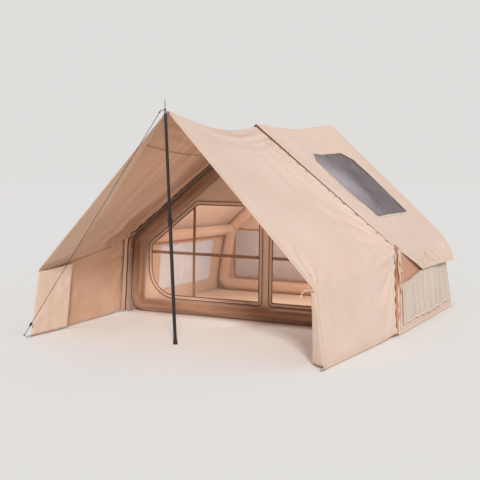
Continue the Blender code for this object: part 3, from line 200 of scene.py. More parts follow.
def node(tree, kind, inputs, out=0, stops=(), **settings):
    """Adds a node and gives one of its outputs. The inputs are values or links, by name or in order."""
    made = tree.nodes.new("ShaderNode" + kind)
    for name, value in settings.items():
        setattr(made, name, value)
    for name, value in inputs.items() if isinstance(inputs, dict) else enumerate(inputs):
        if isinstance(value, bpy.types.NodeSocket):
            tree.links.new(value, made.inputs[name])
        else:
            made.inputs[name].default_value = value
    for number, (place, code) in enumerate(stops):
        made.color_ramp.elements[number].position = place
        made.color_ramp.elements[number].color = linear(code)
    return made.outputs[out] if made.outputs else None


def blank(name):
    """An empty material, and the function that adds a node to it."""
    material = bpy.data.materials.new(name)
    material.use_nodes = True
    material.node_tree.nodes.clear()
    return material, partial(node, material.node_tree)


def worn(material, inputs):
    """Closes a material with a Principled shader that has these inputs."""
    shader = node(material.node_tree, "BsdfPrincipled", inputs)
    node(material.node_tree, "OutputMaterial", {"Surface": shader})
    return material


def stage_floor():
    bm = bmesh.new()
    bmesh.ops.create_circle(bm, cap_ends=True, segments=96, radius=STAGE_RADIUS)
    bmesh.ops.translate(bm, verts=bm.verts, vec=(0, 0, -STAGE_DROP))
    mesh = bpy.data.meshes.new("studio_floor")
    bm.to_mesh(mesh)
    bm.free()
    item = bpy.data.objects.new("studio_floor", mesh)
    bpy.context.scene.collection.objects.link(item)
    paint, _ = blank("studio_floor_paint")
    # matt paint has a wide, weak shine, so the floor shows soft shadows and no mirror image
    looks = {"Base Color": linear("#E9E9E9"), "Roughness": 0.9, "Specular IOR Level": 0.1}
    mesh.materials.append(worn(paint, looks))


def studio_world():
    world = bpy.data.worlds.new("studio_world")
    bpy.context.scene.world = world
    world.use_nodes = True
    tree = world.node_tree
    tree.nodes.clear()
    seen = node(tree, "LightPath", {}, "Is Camera Ray")
    for ray in ("Is Glossy Ray", "Is Transmission Ray"):
        seen = node(tree, "Math", [seen, node(tree, "LightPath", {}, ray)], operation="MAXIMUM")
    light = node(tree, "Background", {"Color": linear("#FFFFFF"), "Strength": WORLD_LIGHT})
    wall = node(tree, "Background", {"Color": linear("#E0DEDC"), "Strength": 1.0})
    node(tree, "OutputWorld", {"Surface": node(tree, "MixShader", [seen, light, wall])})


stage_floor()
studio_world()
print("the stage is ready")

# %% [markdown]
# Tent canvas is a plain weave of spun yarns: matt, slightly fuzzy, with slubs in the yarn, soft folds from
# packing and a little dust along the ground. Each of these is a layer of the material. The valleys of the
# sharp creases, and on some finishes of long folds, also get painted shade: darker colour where a fold would
# lie in shade. The weave follows the cloth's own UV map, which is in real metres, so that it never slides
# over a fold. The folds and stains read Object coordinates.

# %% Layers of canvas
WAVE_METRE = math.tau / 20  # one wave of the Wave texture at scale 1, in metres
YARN = 0.0011
SLUB_STRETCH = (900.0, 40.0, 1.0)
# the first colour darkens the gaps between the yarns and is the dust near the ground, and it is also painted
# shade in the valleys of the sharp creases; the second colour is painted shade along long folds
DUST_AND_SHADE_TONE, PAINTED_FOLD_SHADE, STITCH_THREAD = "#A98468", "#7A4E35", "#F2E4D4"
STITCH_INSET, STITCH_HALF, STITCHES_PER_METRE, STITCH_SHARE = 0.0035, 0.0007, 240.0, 0.62


def stitches(add, uv, width):
    """Two rows of short stitches, near both edges of a tape of this width."""
    across, along = (add("SeparateXYZ", [uv], way) for way in ("X", "Y"))
    edge = add("Math", [across, width / 2], operation="PINGPONG")
    on_line = add("Math", [edge, STITCH_INSET, STITCH_HALF], operation="COMPARE")
    stitch = add("Math", [along, STITCHES_PER_METRE], operation="MULTIPLY")
    stitch = add("Math", [stitch], operation="FRACT")
    stitch = add("Math", [stitch, STITCH_SHARE], operation="LESS_THAN")
    return add("Math", [on_line, stitch], operation="MULTIPLY")


def paint_fold_shade(add, place, follows, fineness, shade, lowest):
    """Painted shade in long folds' valleys. It fades out near the ground and beside the awning's front."""
    lined = add("Mapping", {"Vector": add("TexCoord", {}, follows), "Scale": fineness})
    fold = add("TexNoise", {"Vector": lined, "Scale": 1.0, "Detail": 1.2, "Roughness": 0.5})
    fold_shade_share = add("MapRange", [fold, 0.38, 0.62, shade, 0.0])
    height, depth = (add("SeparateXYZ", [place], way) for way in ("Z", "Y"))
    above = add("MapRange", [height, lowest, lowest + 0.25, 0.0, 1.0])
    inwards = add("MapRange", [depth, -2.6, -1.7, 0.10, 1.0])
    fold_shade_share = add("Math", [fold_shade_share, above], operation="MULTIPLY")
    return add("Math", [fold_shade_share, inwards], operation="MULTIPLY")


def canvas(name, light, deep, fold=0.0035, sheen=0.25, stitched=0.0, rows=None):
    """Woven canvas from two tones. The fold is the height of its creases, and stitched is a tape's width. The
    rows give the painted shade of long folds: which coordinates it follows, how fine and how dark it is, and
    how high it begins."""
    material, add = blank(name)
    uv, place = (add("TexCoord", {}, way) for way in ("UV", "Object"))
    # the weave: two crossing waves of yarn, some yarns thicker than others
    threads = {"Vector": uv, "Scale": WAVE_METRE / YARN, "Distortion": 0.6, "Detail": 1.0}
    yarns = [add("TexWave", threads, "Fac", bands_direction=way) for way in "XY"]
    weave = add("Math", yarns, operation="MULTIPLY")
    slub_map = add("Mapping", {"Vector": uv, "Scale": SLUB_STRETCH})
    slub = add("TexNoise", {"Vector": slub_map, "Scale": 1.0, "Detail": 2.0})
    # wide clouds of tone, so that no large sheet looks printed
    tone = add("TexNoise", {"Vector": place, "Scale": 1.7, "Detail": 4.0, "Roughness": 0.55})
    colour = add("ValToRGB", [tone], stops=((0.32, deep), (0.68, light)))
    # dust that splashes up as far as a hand's breadth, in patches
    low_down = add("MapRange", [add("SeparateXYZ", [place], "Z"), 0.0, 0.12, 0.30, 0.0])
    patch = add("TexNoise", {"Vector": place, "Scale": 14.0, "Detail": 3.0})
    # sharp packing creases over broad soft ones
    sharp_folds = {"Vector": place, "Scale": 2.6, "Detail": 4.0, "Roughness": 0.45, "Distortion": 0.9}
    sharp = add("TexNoise", sharp_folds, noise_type="RIDGED_MULTIFRACTAL")
    blotches = {"Vector": place, "Scale": 5.5, "Detail": 5.0, "Roughness": 0.5, "Distortion": 0.6}
    soft = add("TexNoise", blotches)
    layers = [
        (add("MapRange", [slub, 0.35, 0.75, 0.0, 0.22]), deep),
        # darker in the gaps between the yarns
        (add("MapRange", [weave, 0.0, 0.25, 0.14, 0.0]), DUST_AND_SHADE_TONE),
        (add("Math", [low_down, patch], operation="MULTIPLY"), DUST_AND_SHADE_TONE),
    ]
    if stitched:
        layers.append((stitches(add, uv, stitched), STITCH_THREAD))
    # painted shade: the valleys of the sharp creases are darkened in colour
    layers.append((add("MapRange", [sharp, 0.25, 0.85, 0.16, 0.0]), DUST_AND_SHADE_TONE))
    # painted shade along long folds
    if rows:
        layers.append((paint_fold_shade(add, place, *rows), PAINTED_FOLD_SHADE))
    for share, code in layers:
        colour = add("Mix", {0: share, 6: colour, 7: linear(code)}, 2, data_type="RGBA")
    normal = add("Bump", {"Height": soft, "Strength": 1.0, "Distance": fold * 4})
    normal = add("Bump", {"Height": sharp, "Strength": 0.8, "Distance": fold * 2, "Normal": normal})
    normal = add("Bump", {"Height": weave, "Strength": 0.5, "Distance": 0.0002, "Normal": normal})
    # the sheen is the fuzz of spun yarn, which brightens cloth where it turns away
    return worn(material, {
        "Base Color": colour, "Roughness": add("MapRange", [slub, 0.2, 0.8, 0.82, 0.96]), "Normal": normal,
        "Sheen Weight": sheen, "Sheen Roughness": 0.6, "Specular IOR Level": 0.15,
    })


print("a yarn of the canvas is", YARN * 1000, "mm wide")

# %% [markdown]
# The same cloth has several colours on this tent, and most of the difference is painted light and shade:
# the inner faces are a darker, warmer copy for shade and for light coming through the cloth, the gussets
# behind the flaps are a deep brown copy for shade, the wings, facings and front wall are lighter copies for
# light, and the front arch's sleeve is darker than the cabin's beams for the porch's shade. The floor sheet
# is smooth where it is coated. Hems and tapes are the same canvas folded and sewn down, so they show
# stitches.

# %% Canvas finishes
# painted shade of long folds: near the ridge on the awning's outer face, beside the arch on its inner face,
# and along the front arch's sleeve
AWNING_FOLD_SHADING = ("UV", (15.0, 0.9, 1.0), 0.24, 1.60)
INNER_FACE_FOLD_SHADING = ("Object", (0.5, 8.0, 0.7), 0.46, 0.62)
SLEEVE_FOLD_SHADING = ("UV", (26.0, 1.6, 1.0), 0.60, -1.0)
# painted shade and light: the inner face is a darker, warmer copy of the outer canvas, for shade and for
# light coming through the cloth
OUTER_CANVAS = canvas("canvas_outer_face", "#E6CFC0", "#DCC2B1")
SHADED_INNER_CANVAS = canvas("canvas_inner_face", "#DCC0AA", "#D0B097")
# painted shade: the awning's inner face is a darker copy of its outer canvas
AWNING_CANVAS = canvas("awning_canvas_outer_face", "#E6D0C2", "#DDC4B4", rows=AWNING_FOLD_SHADING)
SHADED_AWNING_INNER_FACE = canvas("awning_canvas_inner_face", "#D3AC90", "#C79F82", rows=INNER_FACE_FOLD_SHADING)
# painted light: the wings are a lighter copy of the canvas, for the light that falls on them
LIT_WING_CANVAS = canvas("wing_canvas", "#F0DAC9", "#E6CCB8")
# painted light: the front wall, its door bindings and its zip tapes are a lighter copy of the canvas, which
# lifts them out of the porch's shade
LIGHTENED_WALL_CANVAS = canvas("front_wall_canvas", "#F0CDB4", "#E2BDA3")
# painted shade: the gussets behind the flaps, and the right one at the lacing, are a deep orange-brown copy
# of the canvas
PAINTED_SHADE_GUSSET = canvas("shaded_gusset_canvas", "#CB8253", "#B97144")
# painted shade and light: one sleeve cloth in two copies, darker for the front arch in the porch's shade,
# lighter for the rear arch and eave beams in the cabin
SHADED_FRONT_SLEEVE = canvas("beam_sleeve_canvas", "#A67D62", "#926A50", 0.003, 0.35, rows=SLEEVE_FOLD_SHADING)
LIT_CABIN_SLEEVE = canvas("rear_beam_sleeve_canvas", "#DDBCA4", "#CFA88D", 0.003, 0.35)
# painted light: the facings, and the left gusset at the lacing, are a lighter copy of the awning's inner
# face, for the light that falls in at the front
FACING_CANVAS = canvas("facing_canvas", "#DDBFA8", "#D0AF95")
FLOOR_CANVAS = canvas("coated_floor_sheet", "#EED8C5", "#E2C8B1", 0.004, 0.05)
HEM_CANVAS = canvas("hem_tape", "#E6CDB9", "#DBBFA8", 0.002, stitched=0.030)
DEEP_TAPE = canvas("door_frame_tape", "#A06E52", "#8F5F45", 0.002, stitched=0.026)
# partly painted shade: the dark strips on the awning's inner side stand for seams and for the shade along the
# eave crease
SHADED_SEAM_STRIP = canvas("shaded_seam", "#A9805F", "#96704F", 0.001)
CORNER_CANVAS = canvas("corner_tape_canvas", "#E8C6A8", "#DDB592", 0.002)
TIE_TAPE = canvas("pale_tie_tape", "#EAD0B8", "#DDBE9F", 0.001)
print("canvas finishes ready")

# %% [markdown]
# Windows and doors are not cloth. The side windows are milky film behind a loose curtain, the skylight is a
# smoked film whose creases catch the sky, with a painted reflection of the sky as a pale patch, and the doors
# are a brown insect mesh. All of them let light into the cabin, so they get a constant alpha, and bump for
# the folds that catch the light.

# %% Film and mesh
MESH_HOLE = 0.0014
# painted reflection: the centre of a pale patch of sky painted into the skylight's colour
PAINTED_SKY_REFLECTION = (0.75, -0.50, 1.41)  # where the skylight mirrors the sky
EVEN = (1.0, 1.0, 1.0)


def film(name, light, deep, roughness, alpha, fold, size, streak=EVEN, tones=(0.35, 0.65), painted_glare=None):
    """Thin film with haze in it and long creases along the streak. The painted glare is the place of a
    painted
    reflection: a pale patch of sky in the colour.
    """
    material, add = blank(name)
    place = add("TexCoord", {}, "Object")
    streaked = add("Mapping", {"Vector": place, "Scale": streak})
    creases = {"Vector": streaked, "Scale": size, "Detail": 6.0, "Roughness": 0.62, "Distortion": 1.4}
    folds = add("TexNoise", creases)
    haze = add("TexNoise", {"Vector": place, "Scale": 1.4, "Detail": 1.5})
    if painted_glare:
        # painted reflection: the haze rises into a pale patch round this place
        away = add("VectorMath", [place, painted_glare], "Value", operation="DISTANCE")
        half_haze = add("Math", [haze, 0.5], operation="MULTIPLY")
        haze = add("Math", [half_haze, add("MapRange", [away, 0.10, 0.62, 0.45, 0.08])], operation="ADD")
    return worn(material, {
        "Base Color": add("ValToRGB", [haze], stops=zip(tones, (deep, light))),
        "Roughness": add("MapRange", [folds, 0.3, 0.7, roughness, roughness + 0.2]),
        "Normal": add("Bump", {"Height": folds, "Strength": 0.8, "Distance": fold}),
        "Alpha": alpha, "IOR": 1.45,
    })


def mesh_cloth(name, light, deep, alpha):
    """Insect mesh: fine crossing threads, darker in the holes, dull and mostly see-through."""
    material, add = blank(name)
    place = add("TexCoord", {}, "Object")
    threads = {"Vector": place, "Scale": WAVE_METRE / MESH_HOLE}
    strands = [add("TexWave", threads, "Fac", bands_direction=way) for way in "XZ"]
    grid = add("Math", strands, operation="MAXIMUM")
    tone = add("TexNoise", {"Vector": place, "Scale": 3.0, "Detail": 3.0})
    colour = add("ValToRGB", [tone], stops=((0.3, deep), (0.7, light)))
    holes = add("MapRange", [grid, 0.4, 1.0, 0.25, 0.0])
    return worn(material, {
        "Base Color": add("Mix", {0: holes, 6: colour, 7: linear("#5A3D2E")}, 2, data_type="RGBA"),
        "Roughness": add("MapRange", [tone, 0.2, 0.8, 0.75, 0.9]),
        "Normal": add("Bump", {"Height": grid, "Strength": 0.3, "Distance": 0.0003}),
        "Alpha": alpha, "Specular IOR Level": 0.1,
    })


SIDE_FILM = film("side_window_curtain", "#D9C9BC", "#CDBBAD", 0.55, 0.96, 0.004, 7.0, (1.0, 4.0, 0.5))
REAR_FILM = film("rear_window_film", "#C9B7AE", "#B39E94", 0.30, 0.60, 0.004, 5.0)
# painted light: the left window's film is near white and bluish, for the daylight that shines through it
LIT_LEFT_FILM = film("left_window_film", "#EAEEF8", "#DADDE8", 0.35, 0.82, 0.004, 5.0)
SKYLIGHT_FILM = film(
    "smoked_skylight_film", "#A89EAA", "#584C50", 0.30, 0.93, 0.006, 2.4,
    streak=(1.0, 1.5, 1.0), tones=(0.36, 0.72), painted_glare=PAINTED_SKY_REFLECTION,
)
DOOR_MESH = mesh_cloth("door_mesh", "#DCC6B4", "#CDB29D", 0.12)
print("film and mesh ready")

# %% [markdown]
# The hard pieces have their own finishes. The pole is steel under a satin black powder coat, which dulls
# and rubs bright in patches. Rings, pin and grommet are plated steel with fine scratches. The foot is
# rubber with dust in it, and the ropes are braided: two slanting waves cross like the braid's strands.

# %% Metal, plastic, rubber, braid
def hard(name, light, deep, roughness, metallic, scratch=0.0002, grain=220.0, coat=0.0):
    """A hard finish: clouds of wear in its colour and shine, and fine scratches in its surface."""
    material, add = blank(name)
    place = add("TexCoord", {}, "Object")
    cloud = add("TexNoise", {"Vector": place, "Scale": 18.0, "Detail": 5.0})
    fine = add("TexNoise", {"Vector": place, "Scale": grain, "Detail": 3.0})
    return worn(material, {
        "Base Color": add("ValToRGB", [cloud], stops=((0.35, deep), (0.7, light))),
        "Roughness": add("MapRange", [cloud, 0.3, 0.7, roughness, roughness + 0.18]),
        "Normal": add("Bump", {"Height": fine, "Strength": 0.5, "Distance": scratch}),
        "Metallic": metallic, "Coat Weight": coat,
    })


def braid(name, light, deep, thread=0.004):
    """Braided cord: pale strands over dark gaps, with fuzz that keeps it dull."""
    material, add = blank(name)
    place = add("TexCoord", {}, "Object")
    strands = []
    for tilt in (0.9, -0.9):
        turned = add("Mapping", {"Vector": place, "Rotation": (tilt, tilt, 0.0)})
        threads = {"Vector": turned, "Scale": WAVE_METRE / thread}
        strands.append(add("TexWave", threads, "Fac", bands_direction="X"))
    crossing = add("Math", strands, operation="MAXIMUM")
    fuzz = add("TexNoise", {"Vector": place, "Scale": 900.0, "Detail": 2.0})
    share = add("MapRange", [crossing, 0.3, 1.0, 0.0, 1.0])
    return worn(material, {
        "Base Color": add("Mix", {0: share, 6: linear(deep), 7: linear(light)}, 2, data_type="RGBA"),
        "Roughness": add("MapRange", [fuzz, 0.2, 0.8, 0.7, 0.95]),
        "Normal": add("Bump", {"Height": crossing, "Strength": 0.8, "Distance": 0.0006}),
        "Sheen Weight": 0.2,
    })


POLE_BLACK = hard("satin_black_powder_coat", "#1B1B1C", "#101011", 0.38, 0.0, coat=0.15)
PLATED = hard("plated_steel", "#B9B8B4", "#8F8D88", 0.28, 1.0)
PLASTIC = hard("black_plastic", "#232120", "#161413", 0.45, 0.0, 0.0004)
RUBBER = hard("dusty_rubber", "#2B2926", "#1A1918", 0.75, 0.0, 0.0006, 120.0)
BLADDER = hard("airtight_bladder", "#D5D2C8", "#C4C0B4", 0.35, 0.0, 0.0003, 60.0)
DARK_BRAID = braid("dark_guy_braid", "#4A342A", "#1E1410")
PALE_BRAID = braid("pale_cord_braid", "#E7DED0", "#B9AB98")
PIPING = hard("brown_piping", "#7C4B35", "#633825", 0.7, 0.0, 0.0003, 400.0)
ZIP_TAPE = hard("brown_zip_tape", "#7A4B36", "#5E3524", 0.75, 0.0, 0.0004, 500.0)
LACE_DARK = hard("dark_lacing_tape", "#7A4E38", "#5E3826", 0.8, 0.0, 0.0004, 300.0)
SLOT_FINISHES = {
    "canvas": OUTER_CANVAS,
    "beam_sleeve": SHADED_FRONT_SLEEVE,
    "bladder": BLADDER,
    "floor_sheet": FLOOR_CANVAS,
    "window_film": SIDE_FILM,
    "skylight_mesh": SKYLIGHT_FILM,
    "door_mesh": DOOR_MESH,
    "dark_trim": PIPING,
    "black_steel": POLE_BLACK,
    "bright_metal": PLATED,
    "black_plastic": PLASTIC,
    "foot_rubber": RUBBER,
    "dark_rope": DARK_BRAID,
    "pale_cord": PALE_BRAID,
}
guy_rope.data.materials.append(DARK_BRAID)
for piece in STUB_PIECES.values():
    piece.data.materials.append(PALE_BRAID)
print("hard finishes ready")

# %% [markdown]
# All the cloth is made one way. A surface is a function that turns two shares, across and along, into a
# place. A grid of faces is laid through it, gets a UV map in real metres, and a Solidify modifier gives it
# its thickness, with the inner face in its own colour. That keeps every sheet whole and lets neighbours
# share one formula.

# %% Sheets
CLOTH, TAPE, THIN_TAPE, FILM = 0.0016, 0.0012, 0.0010, 0.0009
SHEETS = {}


def steps_between(stops, counts):
    """Shares that run through all the stops, with so many steps between each pair."""
    line = [stops[0]]
    for low, high, count in zip(stops, stops[1:], counts):
        line += [mix(low, high, step / count) for step in range(1, count + 1)]
    return line


def evenly(count, low=0.0, high=1.0):
    return steps_between([low, high], [count])


def flipped(shares):
    """The same shares on the other side of 0."""
    return [-share for share in reversed(shares)]


def finish_mesh(name, bm, materials, body, slot):
    mesh = bpy.data.meshes.new(name)
    bm.to_mesh(mesh)
    bm.free()
    for material in materials:
        mesh.materials.append(material)
    mesh.shade_smooth()
    piece = bpy.data.objects.new(name, mesh)
    bpy.context.scene.collection.objects.link(piece)
    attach(piece, body)
    return piece


def thicken(piece, thickness):
    """Gives the cloth its thickness, with the last material on its inner face."""
    solid = piece.modifiers.new("thickness", "SOLIDIFY")
    solid.thickness = thickness
    solid.offset = 0.0
    solid.material_offset = len(piece.data.materials) - 1


def sheet(name, surface, across, along, materials, body="tent", slot="canvas", keep=None, splits=(),
          thickness=CLOTH, flip=False):
    """A sheet of cloth on surface(a, b). Its first material is on the side that a cross b points to."""
    columns, rows = len(across) - 1, len(along) - 1
    bm = bmesh.new()
    bmesh.ops.create_grid(bm, x_segments=columns, y_segments=rows, size=1)
    cell = {}
    for vert in bm.verts:
        cell[vert] = (round((vert.co.x + 1) / 2 * columns), round((vert.co.y + 1) / 2 * rows))
    at = {place: vert for vert, place in cell.items()}
    for vert, (column, row) in cell.items():
        vert.co = surface(across[column], along[row])
    middle_row = [at[column, rows // 2].co.copy() for column in range(columns + 1)]
    middle_column = [at[columns // 2, row].co.copy() for row in range(rows + 1)]
    width, length = line_length(middle_row), line_length(middle_column)
    if splits:
        bmesh.ops.connect_verts(bm, verts=[at[place] for cells in splits for place in cells])
    layer = bm.loops.layers.uv.new("cloth")
    spans = (across[-1] - across[0], along[-1] - along[0])
    for face in bm.faces:
        for loop in face.loops:
            column, row = cell[loop.vert]
            share = ((across[column] - across[0]) / spans[0], (along[row] - along[0]) / spans[1])
            loop[layer].uv = (share[0] * width, share[1] * length)
    if keep:
        gone = []
        for face in bm.faces:
            corners = [Vector((across[cell[vert][0]], along[cell[vert][1]])) for vert in face.verts]
            if not keep(*(sum(corners, Vector((0, 0))) / len(corners))):
                gone.append(face)
        bmesh.ops.delete(bm, geom=gone, context="FACES")
    area = sum(face.calc_area() for face in bm.faces)
    bmesh.ops.remove_doubles(bm, verts=bm.verts[:], dist=1e-6)
    if flip:
        bmesh.ops.reverse_faces(bm, faces=bm.faces[:])
    piece = finish_mesh(name, bm, materials, body, slot)
    if thickness:
        thicken(piece, thickness)
    SHEETS[name] = (width, length, area)
    return piece


def declare(piece):
    """Says what size the sheet was cut to, from its own measured run and area."""
    width, length, area = SHEETS[piece.name]
    full = width * length
    if area > full:
        width, length = width * math.sqrt(area / full), length * math.sqrt(area / full)
    area = min(area, width * length)
    print(piece.name, "cut", round(width, 3), "by", round(length, 3), "m")


print("sheet helpers ready")

# %% [markdown]
# Cloth is never flat. Three kinds of fold cover the whole tent: slow ripples from packing, fans of folds
# that spread out of a pulled corner, and scallops where each lace pulls the edge. All are smooth functions
# of place, so a hem that follows the same surface follows the same folds. A simulation would lose the
# lacing's even beat.

# %% Folds
LACE_PITCH, LACE_PULL, LACE_REACH, LACE_SLANT = 0.120, 0.0190, 0.110, 1.3
SEWN_EDGE = 0.018  # the scallops die away this close to the seam


def rough(x, y, z):
    return noise.noise(Vector((x, y, z)))


def hump(share):
    """A smooth swell that is 0 at both ends of 0 to 1 and 1 halfway."""
    return max(math.sin(math.pi * share), 0.0)


def clamp(share):
    return min(max(share, 0.0), 1.0)


def mirrored(point, side):
    """The point for the right side at 1, or its mirror image for the left side at -1."""
    return Vector((point.x * side, point.y, point.z))


def normal_of(surface, a, b, step=0.004):
    first = surface(a + step, b) - surface(a - step, b)
    second = surface(a, b + step) - surface(a, b - step)
    return first.cross(second).normalized()


def lifted(surface, height):
    """The same surface, a little way out along its own normal."""
    return lambda a, b: surface(a, b) + normal_of(surface, a, b) * height


def ripples(point, *waves):
    """Slow folds. Each wave has a size, a height and a seed."""
    return sum(
        height * noise.noise(point / size + Vector((seed, seed * 1.7, -seed))) for size, height, seed in waves
    )


def fan(point, corner, along, across, reach, height, count):
    """Folds that spread out of a pulled corner and die away."""
    away = point - corner
    far = away.length / reach
    if far >= 1 or far < 0.001:
        return 0.0
    turn = math.atan2(away.dot(Vector(across)), away.dot(Vector(along)))
    fold = math.sin(count * turn + 3.0 * noise.noise(point * 3.0))
    return height * fold * far**0.5 * (1 - far) ** 1.3 * 2.0


def scallop(distance, edge):
    """The pull of each lace on the cloth beside it."""
    loose = 0.6 * rough(distance * 4.0, 8.0, LACE_PITCH)
    wave = abs(math.sin(math.pi * ((distance + LACE_SLANT * edge) / LACE_PITCH + loose))) - 0.6
    fade = math.exp(-edge / LACE_REACH) * (1 - math.exp(-max(edge, 0.0) / SEWN_EDGE))
    return LACE_PULL * (1 + loose) * wave * fade


print("the laces are", LACE_PITCH, "m apart")

# %% [markdown]
# The cabin has one section, a house shape that narrows and rises towards the rear. Everything on the cabin
# gets its place from these few points: the ridge and the shoulder at each depth, and the line of the wall.

# %% The cabin's section
FRONT_Y, REAR_Y = -1.075, 1.075
BEAM = 0.14
HALF_FLOOR, HALF_FRONT, HALF_REAR = 1.50, 1.46, 1.37
SHOULDER_Z, FLAP_Z = 0.82, 0.54
RIDGE_FRONT_Z, RIDGE_REAR_Z = 1.985, 2.075
SLOPE_OUT = Vector((0.624, 0.0, 0.782))


def station(y):
    """0 at the front arch and 1 at the rear arch."""
    return clamp((y - FRONT_Y - BEAM) / (REAR_Y - FRONT_Y - 2 * BEAM))


def ridge(y):
    return Vector((0.0, y, mix(RIDGE_FRONT_Z, RIDGE_REAR_Z, station(y))))


def shoulder(y):
    return Vector((mix(HALF_FRONT, HALF_REAR, station(y)), y, SHOULDER_Z))


def wall_side(y, z):
    return Vector((mix(HALF_FLOOR, shoulder(y).x, z / SHOULDER_Z), y, z))


def free_span(y):
    """0 over the arches, where the cloth lies on a beam, and 1 between them."""
    return min(1.0, 2.5 * hump(station(y)))


print("the cabin is", REAR_Y - FRONT_Y, "m deep and", 2 * HALF_FLOOR, "m wide")

# %% [markdown]
# The fly is one piece of cloth over that section: up the right flap, over the shoulder, along the slope,
# over the ridge and down the other side. The slopes sag between the two arches, and the flaps hang free and
# crumple.

# %% The fly's surface
SHOULDER_AT, SHOULDER_BEND = 0.85, 0.028
CREASE, CREASE_DEPTH = 0.008, 0.003
FLAP_CUT = 0.92  # how far back the flap's hem begins
FLY_RIPPLES = ((0.50, 0.014, 1.0), (0.17, 0.007, 2.0), (0.08, 0.0016, 3.0))
FLY_PULLS = (
    (shoulder(REAR_Y), (-0.5, -0.8, 0.3), (0.5, -0.4, -0.4), 1.0, 0.009, 11),
    (shoulder(FRONT_Y), (-0.5, 0.8, 0.3), (0.5, 0.4, -0.4), 0.8, 0.008, 12),
    (ridge(FRONT_Y), (0.5, 0.7, -0.4), (0.5, -0.6, -0.4), 0.8, 0.007, 13),
)


def bent(plain, share, bend_at, reach, corner=None):
    """A surface of two parts, with the bend between them rounded over this reach."""
    if abs(share - bend_at) >= reach:
        return plain(share)
    k = (share - bend_at + reach) / (2 * reach)
    corner = plain(bend_at) if corner is None else corner
    return plain(bend_at - reach) * (1 - k) ** 2 + corner * (2 * k * (1 - k)) + plain(bend_at + reach) * k**2


def creased(point, share):
    """Rounds off the ridge's sharp fold."""
    if share < CREASE:
        point.z -= CREASE_DEPTH * (1 - share / CREASE)
    return point


def slope_point(u, y):
    point = ridge(y).lerp(shoulder(y), u)
    swing = hump(station(y))
    point.z -= 0.040 * swing * (1 - u) ** 2 + 0.020 * swing * hump(u) * (1 - u)
    folds = free_span(y) * ripples(point, *FLY_RIPPLES)
    for pull in FLY_PULLS:
        folds += free_span(y) * fan(point, *pull)
    folds += 0.55 * scallop(u * 1.87, y - FRONT_Y) * min(1.0, u * 20)
    return point + SLOPE_OUT * max(folds, -0.014)


def flap_line(u, v):
    low = wall_side(mix(FRONT_Y + FLAP_CUT, REAR_Y, v), FLAP_Z)
    low.x += mix(0.026, 0.0956, v)
    point = shoulder(mix(FRONT_Y, REAR_Y, v)).lerp(low, u)
    crumple = 0.016 * rough(u * 2.2, v * 9.0, 4.0) + 0.011 * rough(u * 5.0, v * 24.0, 9.0)
    crumple += 0.005 * rough(u * 9.0, v * 52.0, 3.0)
    loose = hump(min(u, 0.85)) * hump(min(max(v, 0.02), 0.98)) ** 0.5
    point.x += 0.020 * math.sin(math.pi * u) * mix(0.4, 1.0, v) + crumple * loose * 1.6
    return point


def fly(a, y):
    """a runs from the left flap's hem at -1 over the ridge at 0 to the right flap's hem at 1."""
    v = (y - FRONT_Y) / (REAR_Y - FRONT_Y)

    def plain(t):
        if t <= SHOULDER_AT:
            return slope_point(t / SHOULDER_AT, y)
        return flap_line((t - SHOULDER_AT) / (1 - SHOULDER_AT), v)

    point = creased(bent(plain, abs(a), SHOULDER_AT, SHOULDER_BEND, shoulder(y)), abs(a))
    if y < FRONT_Y:
        point.y -= 0.003 * rough(a * 18.0, 2.0, 0.0)
    return mirrored(point, 1.0 if a >= 0 else -1.0)


print("the flap's hem is", round(fly(1.0, 0.0).z, 3), "m up")

# %% [markdown]
# The skylight is a window of smoked film in the right slope, with its two upper corners cut off. The fly's
# grid has lines along the window's edges, and the faces at the cut corners are split along the cut, so the
# opening has clean edges and the film fits it exactly.

# %% The fly and its skylight
SKY_DISTANCES = (0.44, 0.58, 1.46)  # metres down the slope: its top, its cut corners, its foot
SLOPE_RUN = (shoulder(0.0) - ridge(0.0)).length
SKY_A = [distance / SLOPE_RUN * SHOULDER_AT for distance in SKY_DISTANCES]
SKY_Y = (-0.62, -0.42, 0.455, 0.655)
CUT_STEPS = 5
BEND_FROM, BEND_TO = SHOULDER_AT - SHOULDER_BEND, SHOULDER_AT + SHOULDER_BEND
RIGHT_A = steps_between([0.0, CREASE, *SKY_A, BEND_FROM, BEND_TO, 1.0], [1, 22, CUT_STEPS, 46, 12, 8, 26])
LEFT_A = flipped(steps_between([0.0, CREASE, BEND_FROM, BEND_TO, 1.0], [1, 82, 8, 26]))
FLY_A = LEFT_A[:-1] + RIGHT_A
FLY_STOPS = [FRONT_Y - 0.011, FRONT_Y, FRONT_Y + BEAM, *SKY_Y, REAR_Y - BEAM, REAR_Y]
FLY_Y = steps_between(FLY_STOPS, [1, 8, 16, CUT_STEPS, 40, CUT_STEPS, 14, 8])
FILM_A = [a for a in RIGHT_A if SKY_A[0] - 1e-6 < a < SKY_A[2] + 1e-6]
FILM_Y = [y for y in FLY_Y if SKY_Y[0] - 1e-6 < y < SKY_Y[3] + 1e-6]


def nearest(values, wanted):
    return min(range(len(values)), key=lambda place: abs(values[place] - wanted))


def in_skylight(a, y):
    if not (SKY_A[0] < a < SKY_A[2] and SKY_Y[0] < y < SKY_Y[3]):
        return False
    down = (a - SKY_A[0]) / (SKY_A[1] - SKY_A[0])
    along = SKY_Y[1] - SKY_Y[0]
    return down + (y - SKY_Y[0]) / along > 1 and down + (SKY_Y[3] - y) / along > 1


def corner_cells(across, along):
    """The grid points on the two cut corners, which split the faces there along the cut."""
    first, low = nearest(across, SKY_A[0]), nearest(along, SKY_Y[0])
    high = nearest(along, SKY_Y[3])
    steps = range(CUT_STEPS + 1)
    return [
        [(first + step, low + CUT_STEPS - step) for step in steps],
        [(first + step, high - CUT_STEPS + step) for step in steps],
    ]


